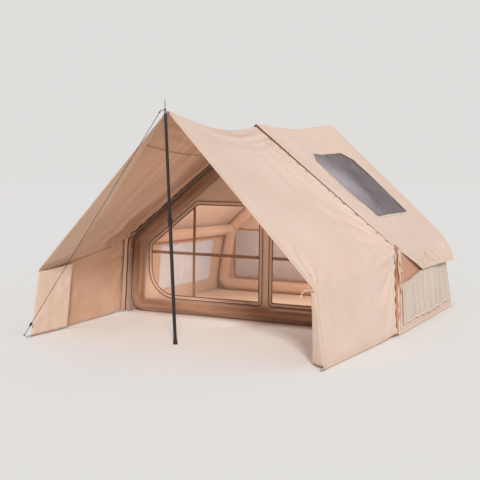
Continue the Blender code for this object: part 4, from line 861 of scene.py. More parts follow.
def film_fly(a, y):
    point = fly(a, y)
    from_sides = min(a - SKY_A[0], SKY_A[2] - a) / 0.06
    inner = min(from_sides, (y - SKY_Y[0]) / 0.12, (SKY_Y[3] - y) / 0.12, 1.0)
    return point + SLOPE_OUT * max(inner, 0.0) * ripples(point, (0.30, 0.010, 7.0), (0.12, 0.003, 8.0))


canvas_fly = sheet(
    "canvas_fly", fly, FLY_A, FLY_Y, [OUTER_CANVAS, SHADED_INNER_CANVAS],
    keep=lambda a, y: not in_skylight(a, y), splits=corner_cells(FLY_A, FLY_Y),
)
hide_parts("main_roof_left", "main_roof_right", "eave_flap_left", "eave_flap_right")
skylight = sheet(
    "skylight_film", film_fly, FILM_A, FILM_Y, [SKYLIGHT_FILM], slot="skylight_mesh",
    keep=in_skylight, splits=corner_cells(FILM_A, FILM_Y), thickness=FILM,
)
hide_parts("skylight_window")
print("fly and skylight", len(canvas_fly.data.polygons), "faces")

# %% [markdown]
# Seams and hems are strips of the same canvas, folded and stitched down. A strip that runs straight along
# the cloth is the same surface lifted a millimetre or two. A strip that goes round an outline follows a
# path, with a side way and a normal at each point, and is mitred at the corners.

# %% Straps
def strap(name, path, normals, width, material, body="tent", slot="canvas", lift=0.0015, crown=0.0006,
          closed=False, thickness=TAPE):
    """A strip along a path. It lies across both the path and the normal, which is one for all or a list."""
    if isinstance(normals, Vector):
        normals = [normals] * len(path)
    frames = []
    count = len(path)
    for place, point in enumerate(path):
        back = path[place - 1] if closed or place > 0 else point
        ahead = path[(place + 1) % count] if closed or place < count - 1 else point
        first = (point - back).normalized() if back is not point else (ahead - point).normalized()
        second = (ahead - point).normalized() if ahead is not point else first
        way = (first + second).normalized()
        across = way.cross(normals[place]).normalized()
        frames.append((point, across / max(way.dot(first), 0.5), normals[place]))
    if closed:
        frames.append(frames[0])
    last = len(frames) - 1

    def surface(a, b):
        point, across, normal = frames[round(b * last)]
        return point + across * ((a - 0.5) * width) + normal * (lift + crown * (1 - (2 * a - 1) ** 2))

    return sheet(name, surface, evenly(4), evenly(last), [material], body, slot, thickness=thickness)


def resampled(points, step, closed=False):
    """The same line with extra points, no further apart than one step."""
    line = []
    for start, end in zip(points, points[1:] + ([points[0]] if closed else [])):
        count = max(1, math.ceil((end - start).length / step))
        line += [start.lerp(end, place / count) for place in range(count)]
    return line if closed else line + [points[-1]]


print("strap helpers ready")

# %% [markdown]
# A stitched tape frames the skylight, and a folded hem closes the cloth along both flaps and across the
# rear.

# %% The fly's hems
HEM_LIFT = 0.0018
SKY_CORNERS = [Vector((SKY_A[a], SKY_Y[y])) for a, y in ((1, 0), (0, 1), (0, 2), (1, 3), (2, 3), (2, 0))]
sky_edge = [fly(a, y) for a, y in resampled(SKY_CORNERS, 0.03, closed=True)]
fly_trim = [strap("skylight_border", sky_edge, SLOPE_OUT, 0.024, HEM_CANVAS, lift=0.0022, closed=True)]
FLAP_HEM = evenly(4, 0.976, 1.0)
FLY_HEMS = {
    "flap_hem_right": (FLAP_HEM, FLY_Y),
    "flap_hem_left": (flipped(FLAP_HEM), FLY_Y),
    "fly_rear_hem": (FLY_A, evenly(2, REAR_Y - 0.030, REAR_Y - 0.001)),
}
for name, (across, along) in FLY_HEMS.items():
    fly_trim.append(sheet(name, lifted(fly, HEM_LIFT), across, along, [HEM_CANVAS], thickness=TAPE))
declare(canvas_fly)
declare(skylight)

# %% [markdown]
# Under each flap the wall is two layers: a gusset behind, whose deep brown is painted shade, and the wall in
# front, which carries the window. The window's curtain hangs in upright folds, and a frame tape holds it on
# all four sides.

# %% Side walls
WINDOW_Y = (-0.455, 0.745)
WINDOW_LOW = 0.14
WALL_Y = steps_between([FRONT_Y, FRONT_Y + BEAM, *WINDOW_Y, REAR_Y - BEAM, REAR_Y], [4, 12, 30, 5, 4])
WALL_A = steps_between([0.0, 1.0, 2.0, 3.0], [6, 14, 8])
FLAP_DEPTH = 0.95  # the wall's top edge falls, or rises, to this depth behind the front
LEVEL_TOP, REAR_TOP = 0.54, 0.74


def wall_top(y, front_top):
    middle_y, middle_top = FRONT_Y + FLAP_DEPTH, max(LEVEL_TOP, front_top)
    if y < middle_y:
        return mix(front_top, middle_top, (y - FRONT_Y) / FLAP_DEPTH)
    return mix(middle_top, REAR_TOP, (y - middle_y) / (REAR_Y - middle_y))


def wall_cloth(y, z, side):
    point = wall_side(y, z)
    end = min(1.0, min(y - FRONT_Y, REAR_Y - y) / BEAM)
    loose = min(1.0, z / 0.10) * end
    folds = 0.003 + ripples(point, (0.30, 0.005, 11.0 + side), (0.10, 0.002, 3.0))
    point.x += mix(0.0024, 0.0060, end) + loose * folds
    return mirrored(point, side)


def build_side(name, side, front_top, window_high, gusset_low, window_finish):
    def wall(a, y):
        stops = [0.0004, WINDOW_LOW, window_high, wall_top(y, front_top)]
        place = min(int(a), 2)
        return wall_cloth(y, mix(stops[place], stops[place + 1], a - place), side)

    def curtain(a, y):
        point = wall_cloth(y, mix(WINDOW_LOW, window_high, a), side)
        v = (y - WINDOW_Y[0]) / (WINDOW_Y[1] - WINDOW_Y[0])
        pleat = abs(math.sin(math.pi * 9 * v + 1.4 * rough(v * 6.0, a * 1.5, side))) ** 0.8
        deep = hump(v) ** 0.6 * hump(min(a * 0.92 + 0.04, 1.0)) ** 0.35
        point.x += side * (0.010 * pleat * deep - 0.002 * deep)
        return point

    def gusset(a, y):
        point = wall_side(y, mix(gusset_low, 0.790, a))
        point.x += hump(a) * free_span(y) * (ripples(point, (0.16, 0.004, 5.0)) - 0.003)
        return mirrored(point, side)

    def foot(a, y):
        return wall_cloth(y, mix(0.003, 0.045, a), side) + Vector((side * 0.0022, 0, 0))

    def around_window(a, y):
        return not (1 < a < 2 and WINDOW_Y[0] < y < WINDOW_Y[1])

    flip = side > 0
    window = f"side_window_{name}"
    body = sheet(f"side_wall_{name}_cloth", wall, WALL_A, WALL_Y, [OUTER_CANVAS, SHADED_INNER_CANVAS],
                 keep=around_window, flip=flip)
    glass = sheet(f"{window}_curtain", curtain, evenly(16), evenly(150, *WINDOW_Y), [window_finish],
                  slot="window_film", thickness=0.0008, flip=flip)
    back = sheet(f"shoulder_gusset_{name}_cloth", gusset, evenly(6), WALL_Y, [PAINTED_SHADE_GUSSET], flip=flip)
    low, high = WINDOW_LOW, window_high
    corners = [Vector(corner) for corner in zip((*WINDOW_Y, *WINDOW_Y[::-1]), (low, low, high, high))]
    edge = [wall_cloth(y, z, side) for y, z in resampled(corners, 0.03, closed=True)[::side]]
    tape = strap(f"{window}_border", edge, Vector((side, 0, 0)), 0.022, HEM_CANVAS, lift=0.0020, closed=True)
    hem = sheet(f"side_wall_{name}_hem", foot, evenly(3), WALL_Y, [HEM_CANVAS], thickness=TAPE, flip=flip)
    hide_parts(f"side_wall_{name}")
    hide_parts(window)
    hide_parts(f"shoulder_gusset_{name}")
    declare(body)
    declare(glass)
    declare(back)


RIGHT_FRONT_TOP = 0.45
build_side("left", -1, 0.72, 0.66, 0.68, LIT_LEFT_FILM)
build_side("right", 1, RIGHT_FRONT_TOP, 0.485, 0.40, SIDE_FILM)

# %% [markdown]
# The rear and front walls are flat panels sewn inside the arches. Their outline has corners and openings
# that a grid can't follow, so each one is filled inside its outline, then cut by evenly spaced planes. That
# gives the panel enough points to take a gentle unevenness. First come the outlines.

# %% Outlines
WALL_GAP, FLOOR_GAP = 0.0018, 0.0033  # between a wall and the cloth round it


def meeting(first, first_way, second, second_way):
    area = first_way.x * second_way.y - first_way.y * second_way.x
    away = second - first
    return first + first_way * ((away.x * second_way.y - away.y * second_way.x) / area)


def inset(points, distances):
    """The outline moved inwards, each side by its own distance."""
    moved = []
    for place, start in enumerate(points):
        way = (points[(place + 1) % len(points)] - start).normalized()
        moved.append((start + Vector((-way.y, way.x)) * distances[place], way))
    return [meeting(*moved[place - 1], *moved[place]) for place in range(len(points))]


def rounded(points, radii, steps):
    """The outline with an arc at each corner."""
    line = []
    for place, (corner, radius) in enumerate(zip(points, radii)):
        back = (points[place - 1] - corner).normalized()
        ahead = (points[(place + 1) % len(points)] - corner).normalized()
        half = back.angle(ahead) / 2
        middle = corner + (back + ahead).normalized() * (radius / math.sin(half))
        start = corner + back * (radius / math.tan(half)) - middle
        end = corner + ahead * (radius / math.tan(half)) - middle
        line += [middle + start.slerp(end, step / steps).normalized() * radius for step in range(steps + 1)]
    return line


def section(y):
    low, top = shoulder(y), ridge(y)
    floor = [Vector((-HALF_FLOOR, 0)), Vector((HALF_FLOOR, 0))]
    return [*floor, Vector((low.x, low.z)), Vector((0, top.z)), Vector((-low.x, low.z))]


def wall_outline(y):
    return inset(section(y), [FLOOR_GAP] + [WALL_GAP] * 4)


def box_outline(span, low, high, radius):
    half = span / 2
    corners = [Vector((-half, low)), Vector((half, low)), Vector((half, high)), Vector((-half, high))]
    return rounded(corners, [radius] * 4, 6)


print("the rear wall is", round(2 * wall_outline(REAR_Y)[1].x, 3), "m wide")

# %% [markdown]
# Now the panel itself. The rear wall holds a wide, low window of clear film with rounded corners. A tape
# covers the joint on both sides of the cloth, pale outside and brown inside.

# %% Rear wall
OUT_REAR, OUT_FRONT = Vector((0, 1, 0)), Vector((0, -1, 0))
REAR_WINDOW = (2.56, 0.16, 0.775, 0.05)  # its width, foot, head and corner radius
FILM_WINDOW = (2.5584, 0.1608, 0.7742, 0.05)
REAR_TAPE, TAPE_LIFT = 0.026, 0.0022


def panel(name, outline, holes, place_of, facing, materials, body="tent", slot="canvas", thickness=CLOTH):
    """A panel in its outline, with holes. place_of(x, z) puts each point. Its first side looks to facing."""
    step = 0.05
    bm = bmesh.new()
    edges = []
    for loop in [outline, *holes]:
        verts = [bm.verts.new((point.x, 0.0, point.y)) for point in loop]
        edges += [bm.edges.new((verts[place - 1], verts[place])) for place in range(len(verts))]
    bmesh.ops.triangle_fill(bm, edges=edges, use_beauty=True)
    lows = [min(point[way] for point in outline) for way in (0, 1)]
    highs = [max(point[way] for point in outline) for way in (0, 1)]
    for low, high, normal in zip(lows, highs, (Vector((1, 0, 0)), Vector((0, 0, 1)))):
        for cut in range(1, int((high - low) / step) + 1):
            everything = bm.verts[:] + bm.edges[:] + bm.faces[:]
            plane = normal * (low + cut * step)
            bmesh.ops.bisect_plane(bm, geom=everything, dist=1e-5, plane_co=plane, plane_no=normal)
    layer = bm.loops.layers.uv.new("cloth")
    for face in bm.faces:
        for loop in face.loops:
            loop[layer].uv = (loop.vert.co.x + 2.0, loop.vert.co.z)
    area = sum(face.calc_area() for face in bm.faces)
    bmesh.ops.recalc_face_normals(bm, faces=bm.faces[:])
    bm.faces.ensure_lookup_table()
    if bm.faces[0].normal.dot(facing) < 0:
        bmesh.ops.reverse_faces(bm, faces=bm.faces[:])
    for vert in bm.verts:
        vert.co = place_of(vert.co.x, vert.co.z)
    piece = finish_mesh(name, bm, materials, body, slot)
    thicken(piece, thickness)
    SHEETS[name] = (highs[0] - lows[0], highs[1] - lows[1], area)
    return piece


def rear_place(x, z):
    return Vector((x, REAR_Y - 0.003 + 0.004 * rough(x * 2.2, 5.0, z * 2.2), z))


rear_hole = box_outline(*REAR_WINDOW)
rear_cloth = panel(
    "rear_wall_cloth", wall_outline(REAR_Y), [rear_hole], rear_place, OUT_REAR, [OUTER_CANVAS, SHADED_INNER_CANVAS]
)
rear_film = panel(
    "rear_window_film_sheet", box_outline(*FILM_WINDOW), [], rear_place, OUT_REAR, [REAR_FILM],
    slot="window_film", thickness=FILM,
)
rear_edge = [rear_place(x, z) for x, z in resampled(rear_hole, 0.04, closed=True)]
for name, edge, facing, cloth in (
    ("rear_window_border", rear_edge[::-1], OUT_REAR, HEM_CANVAS),
    ("rear_window_inner_border", rear_edge, OUT_FRONT, DEEP_TAPE),
):
    strap(name, edge, facing, REAR_TAPE, cloth, lift=TAPE_LIFT, closed=True)
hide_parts("rear_wall")
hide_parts("rear_window")
declare(rear_cloth)
declare(rear_film)

# %% [markdown]
# An air beam is an airtight bladder in a zipped cloth sleeve. Full of air it is a hard round tube, but the
# sleeve still puckers on the inside of each bend and along its zip. The tube is a grid wrapped round a
# rounded five-sided path, so the pucker is just a change of its radius from place to place.

# %% Tubes
def ways_of(path, closed=True):
    count = len(path)
    ways = []
    for place in range(count):
        back = path[place - 1] if closed or place else path[place]
        ahead = path[(place + 1) % count] if closed or place < count - 1 else path[place]
        ways.append((ahead - back).normalized())
    return ways


def tube(name, path, radius, material, sides, body="tent", slot="dark_trim", closed=True, up=OUT_REAR):
    """A round tube along a path. The radius may be a function of the angle's share and the place on the path,
    and up is a way that the path never takes."""
    frames = []
    for place, (point, way) in enumerate(zip(path, ways_of(path, closed))):
        first = way.cross(up).normalized()
        frames.append((place, 1.0, point, first, first.cross(way).normalized()))
    if closed:
        frames.append(frames[0])
    else:
        caps = [(frames[end][0], share, *frames[end][2:]) for end in (0, -1) for share in (0.0, 0.8)]
        frames = [*caps[:2], *frames, caps[3], caps[2]]
    last = len(frames) - 1

    def surface(a, b):
        place, share, point, first, second = frames[round(b * last)]
        angle = math.tau * a
        size = radius(a % 1.0, place) if callable(radius) else radius
        return point + (first * math.cos(angle) + second * math.sin(angle)) * (size * share)

    return sheet(name, surface, evenly(sides), evenly(last), [material], body, slot, thickness=0.0)


def full_of_air(piece, *nodes):
    """Hides the nodes that a round piece stands for, and gives the piece back."""
    if nodes:
        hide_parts(*nodes)
    return piece


print("tube helper ready")

# %% [markdown]
# Each arch is one beam: two legs, two rafters and a base along the floor. The eave beams run between the
# arches at the shoulders and end just short of them.

# %% Air beams
BEAM_INSET = 0.0713  # from the section's line to the middle of a leg or a rafter
SLEEVE_RADIUS, BLADDER_RADIUS, EAVE_RADIUS = 0.0668, 0.0625, 0.0622
ARCH_RADII = [0.10, 0.10, 0.12, 0.16, 0.12]
EAVE_BEAM_END = 0.9319


def build_arch(name, y_section, y, cloth):
    corners = inset(section(y_section), [FLOOR_GAP + BEAM / 2] + [BEAM_INSET] * 4)
    flat = resampled(rounded(corners, ARCH_RADII, 9), 0.045, closed=True)
    path = [Vector((point.x, y, point.y)) for point in flat]
    ways = ways_of(path)
    turning = [ways[place - 1].angle(ways[(place + 1) % len(ways)]) for place in range(len(ways))]

    def sleeve_radius(a, place):
        inner = 0.5 + 0.5 * math.cos(math.tau * a)
        pucker = 0.0030 * min(turning[place] / 0.25, 1.0) * inner * math.sin(place * 2.4)
        zip_side = 0.0012 * math.exp(-(((a + 0.5) % 1.0 - 0.5) ** 2) / 0.0004)
        soft = 0.0012 * rough(a * 3.0 * math.cos(math.tau * a), place * 0.35, y * 5)
        along = 0.0021 * math.sin(math.tau * a * 6 + 3.5 * rough(place * 0.09, y, 2.0))
        return SLEEVE_RADIUS + pucker + zip_side + soft + along

    sleeve = tube(f"{name}_beam_sleeve_cloth", path, sleeve_radius, cloth, 48, slot="beam_sleeve")
    bladder = tube(f"{name}_beam_bladder_tube", path, BLADDER_RADIUS, BLADDER, 24, slot="bladder")
    full_of_air(sleeve, f"{name}_beam_sleeve")
    full_of_air(bladder, f"{name}_beam_bladder")
    return corners


def bend_middle(corners, place=2, radius=0.12):
    """The middle of the bend at the shoulder."""
    corner = corners[place]
    back, ahead = ((corners[other] - corner).normalized() for other in (place - 1, place + 1))
    half = back.angle(ahead) / 2
    return corner + (back + ahead).normalized() * (radius / math.sin(half) - radius)


def build_eave(name, side, low, high):
    stops = ((low, -EAVE_BEAM_END), (high, EAVE_BEAM_END))
    ends = [Vector((point.x * side, y, point.y)) for point, y in stops]

    def eave_radius(a, place):
        soft = 0.0010 * math.sin(math.tau * 5 * a + place * 0.06)
        return EAVE_RADIUS + soft + 0.0008 * rough(a * 4, place * 0.5, side)

    line = resampled(ends, 0.03)
    eave = tube(f"eave_beam_{name}_cloth", line, eave_radius, LIT_CABIN_SLEEVE, 40, slot="beam_sleeve",
                closed=False, up=Vector((0, 0, 1)))
    full_of_air(eave, f"eave_beam_{name}")


front_corners = build_arch("front", FRONT_Y, FRONT_Y + BEAM / 2, SHADED_FRONT_SLEEVE)
rear_corners = build_arch("rear", REAR_Y, REAR_Y - 0.0023 - BEAM / 2, LIT_CABIN_SLEEVE)
SIDES = (("left", -1), ("right", 1))
for side_name, side in SIDES:
    build_eave(side_name, side, bend_middle(front_corners), bend_middle(rear_corners))
print("air beams ready")

# %% [markdown]
# The front wall has two D-shaped doorways either side of a mullion. Their outline follows the floor, the
# leg and the rafter of the arch at an even distance, with a wide arc at the outer foot.

# %% Front wall
WALL_MIDDLE_Y = -0.9337
MULLION_MIDDLE, MULLION_WIDTH = 0.060, 0.110
DOOR_LOW, DOOR_TOP, DOOR_OUTER = 0.165, 1.178, 1.30
DOOR_TO_ROOF = 0.176
DOOR_RADII = (0.035, 0.30, 0.07, 0.035, 0.035)


def door_corners(side):
    hinge = MULLION_MIDDLE * side + MULLION_WIDTH / 2
    roof = inset(section(FRONT_Y), [0, 0, DOOR_TO_ROOF, DOOR_TO_ROOF, 0])
    slope = (roof[3] - roof[2]).normalized()
    outer = meeting(roof[2], slope, Vector((DOOR_OUTER, 0)), Vector((0, 1)))
    upper = meeting(roof[2], slope, Vector((0, DOOR_TOP)), Vector((1, 0)))
    foot = [Vector((hinge, DOOR_LOW)), Vector((DOOR_OUTER, DOOR_LOW))]
    return [*foot, outer, upper, Vector((hinge, DOOR_TOP))]


def door_outline(side, far):
    """The doorway's line, moved inwards this far, or outwards where it is negative."""
    radii = [max(radius - far, 0.009) for radius in DOOR_RADII]
    line = rounded(inset(door_corners(side), [far] * 5), radii, 8)
    return [Vector((point.x * side, point.y)) for point in line]


def wall_place(x, z, out=0.0):
    """A place on the front wall, which isn't quite flat: it pulls a little towards the doors' corners."""
    relief = 0.0030 * rough(x * 2.6, 1.0, z * 3.0) + 0.0012 * rough(x * 9.0, 3.0, z * 8.0)
    return Vector((x, WALL_MIDDLE_Y + relief - out, z))


def door_line(side, far, step, out=0.0):
    """The doorway's line on the wall, run so that a strap on it looks out of the tent."""
    outline = door_outline(side, far)
    area = sum(a.x * b.y - b.x * a.y for a, b in zip(outline, outline[1:] + outline[:1]))
    outline = outline if area > 0 else outline[::-1]
    return [wall_place(point.x, point.y, out) for point in resampled(outline, step, closed=True)]


front_cloth = panel(
    "front_wall_cloth", wall_outline(FRONT_Y), [door_outline(side, -0.0004) for _, side in SIDES], wall_place,
    OUT_FRONT, [LIGHTENED_WALL_CANVAS, LIGHTENED_WALL_CANVAS],
)
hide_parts("front_wall")
print("the mullion is", MULLION_WIDTH, "m wide")

# %% [markdown]
# Each leaf is a mesh panel with a canvas edge, a dark piping and two crossing tapes that keep the mesh from
# sagging. A zip runs round the doorway on the wall's own side, so it stays behind when the leaf swings
# open.

# %% Doors
PIPING_RADIUS, THIN_PIPING_RADIUS = 0.0042, 0.0022
EDGE_WIDTH, ZIP_WIDTH = 0.024, 0.030
LEVEL_BAR_Z, LEVEL_BAR, UPRIGHT_BAR = 0.640, 0.026, 0.024
UPRIGHT_AT = 0.59  # from the hinge to the door's outer edge
BAR_POINTS = 30


def bar_places(side):
    """The middle lines of the two crossing tapes, in the wall's own flat measure."""
    hinge_x = MULLION_MIDDLE + MULLION_WIDTH / 2 * side
    outer_x = DOOR_OUTER * side
    bar_x = mix(hinge_x, outer_x, UPRIGHT_AT)
    near_head = max(point.y for point in door_outline(side, 0.018) if abs(point.x - bar_x) < 0.12) - 0.002
    under_slope = RIDGE_FRONT_Z - abs(bar_x) * 0.798 - DOOR_TO_ROOF * 1.279 - 0.026
    top = min(near_head, DOOR_TOP - 0.018, under_slope)
    level = [(mix(hinge_x + 0.02 * side, outer_x - 0.02 * side, t), LEVEL_BAR_Z) for t in evenly(BAR_POINTS)]
    upright = []
    for t in evenly(BAR_POINTS):
        bow = 0.010 * side * math.sin(math.pi * t) * (1 - t)
        upright.append((bar_x + bow, mix(DOOR_LOW + 0.02, top, t)))
    return (level if side < 0 else level[::-1]), upright


def build_bars(side_name, side, body):
    """Both tapes, each with a thin piping along its two edges."""
    level, upright = bar_places(side)
    made = []
    for bar_name, points, wide, lift, across in (
        ("level", level, LEVEL_BAR, 0.0016, Vector((0, 0, 1))),
        ("upright", upright, UPRIGHT_BAR, 0.0026, Vector((1, 0, 0))),
    ):
        name = f"door_bar_{bar_name}"
        line = [wall_place(x, z) for x, z in points]
        made.append(strap(f"{name}_{side_name}", line, OUT_FRONT, wide, DEEP_TAPE, body, "dark_trim", lift))
        for number, edge_side in ((0, -1), (2, 1)):
            run = [wall_place(x, z, 0.0032) + across * (wide / 2 * edge_side) for x, z in points]
            cord = tube(f"{name}_piping_{side_name}_{number}", run, THIN_PIPING_RADIUS, PIPING, 8, body,
                        closed=False)
            made.append(full_of_air(cord))
    return made


def build_door(side_name, side):
    body = f"door_{side_name}"
    leaf = panel(f"door_mesh_{side_name}", door_outline(side, 0.0), [], wall_place, OUT_FRONT,
                 [DOOR_MESH], body, "door_mesh", thickness=FILM)
    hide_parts(f"door_panel_{side_name}")
    binding = strap(f"door_edge_{side_name}", door_line(side, 0.012, 0.03), OUT_FRONT, EDGE_WIDTH,
                    LIGHTENED_WALL_CANVAS, body, lift=0.0012, closed=True)
    piping = tube(f"door_piping_{side_name}", door_line(side, 0.018, 0.03, 0.0035), PIPING_RADIUS, PIPING, 12,
                  body)
    full_of_air(piping, f"door_trim_{side_name}")
    bars = build_bars(side_name, side, body)
    declare(leaf)


def build_zip(side_name, side):
    """The zip's tape on the wall, and its coil, whose teeth are a change of radius at every other point."""
    tape = strap(f"door_zip_tape_{side_name}", door_line(side, -0.018, 0.02), OUT_FRONT, ZIP_WIDTH,
                 LIGHTENED_WALL_CANVAS, slot="dark_trim", lift=0.0014, closed=True)
    coil = tube(f"door_zip_coil_{side_name}", door_line(side, -0.018, 0.02, 0.0036),
                lambda a, place: 0.0040 + 0.0006 * (place % 2), ZIP_TAPE, 10)
    return [tape, full_of_air(coil, f"door_zip_{side_name}")]


wall_tapes = []
for side_name, side in SIDES:
    build_door(side_name, side)
    wall_tapes += build_zip(side_name, side)
declare(front_cloth)

# %% [markdown]
# The awning is one big sheet over a ridge, like the fly: hem, wall, eave, slope, ridge, and the same again
# on the other side. It hangs between the pole's apex and the cabin, so its ridge sags. These are its
# corners, and the pulls that spread folds from each of them.

# %% The awning's corners
APEX = Vector((0.0, -2.815, 2.005))
EAVE = Vector((1.32, -2.815, 0.615))
HEM = Vector((1.41, -2.815, 0.0004))
REAR_RIDGE = Vector((0.0, -1.1056, 1.965))
REAR_SHOULDER = Vector((1.46, -1.1056, 0.82))
REAR_EAVE = Vector((1.4649, -1.1056, 0.72))
REAR_HEM = Vector((1.4994, -1.1056, 0.012))
REAR_RUN = (REAR_SHOULDER - REAR_RIDGE).length
TURN_AT = REAR_RUN / (REAR_RUN + (REAR_EAVE - REAR_SHOULDER).length)
DEPTH = REAR_HEM.y - HEM.y
EAVE_AT, EAVE_BEND = 0.77, 0.010
ROOF_OUT = Vector((0.70, -0.05, 0.71))
FREE_EDGE_BACK = 0.052  # how far the free edge below the shoulder draws back from the cabin
LEFT_EAVE_PULL = (EAVE, (-0.35, 0.7, 0.6), (0.5, 0.6, -0.4), 0.60, 0.0080, 14)
RIGHT_EAVE_PULL = (*LEFT_EAVE_PULL[:4], 0.0155, 14)
SHOULDER_PULL = (REAR_SHOULDER, (-0.3, -0.9, -0.1), (0.6, -0.3, -0.7), 0.95, 0.0190, 13)
RIDGE_PULL = (REAR_RIDGE, (0.3, -0.9, -0.2), (0.8, 0.3, -0.6), 0.70, 0.0090, 12)
APEX_PULL = (APEX, (0.5, 0.6, -0.6), (0.6, -0.7, 0.2), 0.60, 0.006, 11)
WALL_REAR_PULL = (REAR_EAVE, (0.0, -0.6, -0.8), (0.1, -0.8, 0.6), 0.85, 0.0190, 12)
WALL_FRONT_PULL = (EAVE, (0.0, 0.6, -0.8), (0.1, 0.8, 0.6), 0.45, 0.0070, 12)
print("the awning is", round(DEPTH, 3), "m deep")

# %% [markdown]
# Along the cabin every lace pulls a small scallop, short rows of folds run beside the ridge, and on the
# shaded left slope long folds run beside the arch. Below the shoulder the awning's rear edge is free and
# draws back.

# %% The awning's surface
def fade(share, steepness):
    """0 at a seam, and 1 a short way from it."""
    return min(1.0, steepness * share)


def bell(value, middle, width):
    return math.exp(-(((value - middle) / width) ** 2))


def rear_edge_of_slope(u):
    if u < TURN_AT:
        return REAR_RIDGE.lerp(REAR_SHOULDER, u / TURN_AT)
    return REAR_SHOULDER.lerp(REAR_EAVE, (u - TURN_AT) / (1 - TURN_AT))


def ridge_rows(u, v, side):
    rows = math.sin(math.tau * (u / 0.052 + 0.9 * rough(u * 3.0, v * 2.2, 12.0 + side)))
    return 0.0105 * rows * bell(u, 0.0, 0.13) * fade(u, 50)


def arch_rows(u, v, side):
    rows = math.sin(math.tau * ((1 - v) * 9.5 + 0.8 * rough(u * 1.6, v * 3.0, 6.0)))
    rows *= 0.65 + 0.7 * rough(u * 3.0, v * 5.0, 16.0)
    return (0.0270 if side < 0 else 0.0050) * rows * bell(v, 0.78, 0.19) * hump(u) ** 0.6


def awning_slope(u, v, side):
    """u runs from the ridge at 0 to the eave at 1, and v from front to rear."""
    point = APEX.lerp(EAVE, u).lerp(rear_edge_of_slope(u), min(v, 1.0))
    point.y += max(v - 1.0, 0.0) * (2.1 + 1.5 * rough(u * 24.0, 5.0, side))
    point.z -= 0.085 * hump(max(v, 0.0) ** 1.3) * (1 - u) ** 2
    point.z -= 0.030 * hump(u) * hump(v)
    loose = hump(v) ** 0.7
    folds = loose * ripples(point, (0.60, 0.012, 20.0 + side), (0.20, 0.0055, 22.0), (0.09, 0.0016, 23.0))
    folds += fan(point, *(RIGHT_EAVE_PULL if side > 0 else LEFT_EAVE_PULL)) * fade(v, 12)
    folds += fan(point, *SHOULDER_PULL) * fade(1 - v, 12)
    folds += fan(point, *RIDGE_PULL) * fade(1 - v, 8) * fade(u, 12)
    folds += fan(point, *APEX_PULL) * fade(v, 10)
    folds += ridge_rows(u, v, side) * loose + arch_rows(u, v, side)
    folds += scallop(u * REAR_RUN, (1 - min(v, 1.0)) * 1.7) * fade(u, 20) * (0.45 + 1.1 * u)
    return point + ROOF_OUT * folds


def awning_wall(u, v, side):
    """u climbs from the hem at 0 to the eave at 1."""
    point = HEM.lerp(REAR_HEM, min(v, 1.0)).lerp(EAVE.lerp(REAR_EAVE, min(v, 1.0)), u)
    loose = hump(u) ** 0.6 * hump(v) ** 0.5
    folds = loose * ripples(point, (0.45, 0.011, 31.0 + side), (0.16, 0.0040, 33.0))
    folds += fan(point, *WALL_REAR_PULL) * fade(1 - v, 9) * fade(1 - u, 6)
    folds += fan(point, *WALL_FRONT_PULL) * fade(v, 10) * fade(1 - u, 8)
    slant = math.sin(math.tau * (1.6 * u + 4.2 * v + 0.7 * rough(u * 2.0, v * 3.0, side)))
    folds += (0.0085 if side < 0 else 0.0045) * slant * loose * (1 - u) ** 0.5
    bulge = 0.018 * hump(u) * hump(v)
    near = max(0.0, (min(v, 1.0) - 0.86) / 0.14)
    back = FREE_EDGE_BACK * min(1.0, 2.6 * hump(u)) * near**1.5
    point.z += 0.016 * bell(v, 0.93, 0.10) * (1 - u) ** 4
    point.z += 0.003 * (1 - u) ** 6 * (0.5 + 0.5 * rough(v * 9.0, side, 1.0))
    point.y -= back * (1.0 + 0.10 * math.sin(u * 31.0) + 0.12 * rough(u * 9.0, side, 4.0))
    point.x += 0.003 * near**3 * math.sin(u * 37.0) + bulge + folds
    return point


def awning(a, v):
    """a runs from the left hem at -1 over the ridge at 0 to the right hem at 1, and v from front to rear."""
    side = 1.0 if a >= 0 else -1.0

    def plain(t):
        if t <= EAVE_AT:
            return awning_slope(t / EAVE_AT, v, side)
        return awning_wall(1 - (t - EAVE_AT) / (1 - EAVE_AT), v, side)

    return mirrored(creased(bent(plain, abs(a), EAVE_AT, EAVE_BEND), abs(a)), side)


print("the ridge sags to", round(awning(0.0, 0.5).z, 3), "m")

# %% [markdown]
# The awning's hems follow the same surface on its outer side, and the two seams of the left slope show on
# its inner side as thin dark lines, dark partly as seams and partly as painted shade. The lower one sags from
# the shoulder to the eave.

# %% The awning
SEAM = 0.0008
HALF_A = steps_between([0.0, CREASE, EAVE_AT - EAVE_BEND, EAVE_AT + EAVE_BEND, 1.0], [1, 128, 5, 40])
AWNING_A = flipped(HALF_A)[:-1] + HALF_A
AWNING_V = [*evenly(100), 1.0046]
HEM_A = evenly(3, 0.985, 0.9995)
INNER_SEAM_A = evenly(2, -0.153, -0.147)


def eave_seam(a, v):
    return awning(0.048 * max(v, 0.0) ** 1.8 - EAVE_AT - mix(0.0125, 0.0075, a), v)


canopy = sheet("awning_canopy", awning, AWNING_A, AWNING_V, [AWNING_CANVAS, SHADED_AWNING_INNER_FACE])
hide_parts("awning_roof_left", "awning_roof_right", "awning_wall_left", "awning_wall_right")
for name, surface, lift, across, along in (
    ("awning_front_hem", awning, 0.0016, AWNING_A, evenly(2, 0.0, 0.018)),
    ("awning_hem_right", awning, 0.0016, HEM_A, AWNING_V),
    ("awning_hem_left", awning, 0.0016, flipped(HEM_A), AWNING_V),
    ("awning_inner_seam", awning, -0.0016, INNER_SEAM_A, AWNING_V),
    ("awning_eave_seam", eave_seam, -0.0019, evenly(2), AWNING_V),
):
    inside = lift < 0
    trim = sheet(name, lifted(surface, lift), across, along, [SHADED_SEAM_STRIP if inside else HEM_CANVAS],
                 slot="dark_trim" if inside else "canvas", thickness=SEAM if inside else THIN_TAPE)
declare(canopy)
print("awning", len(canopy.data.polygons), "faces")

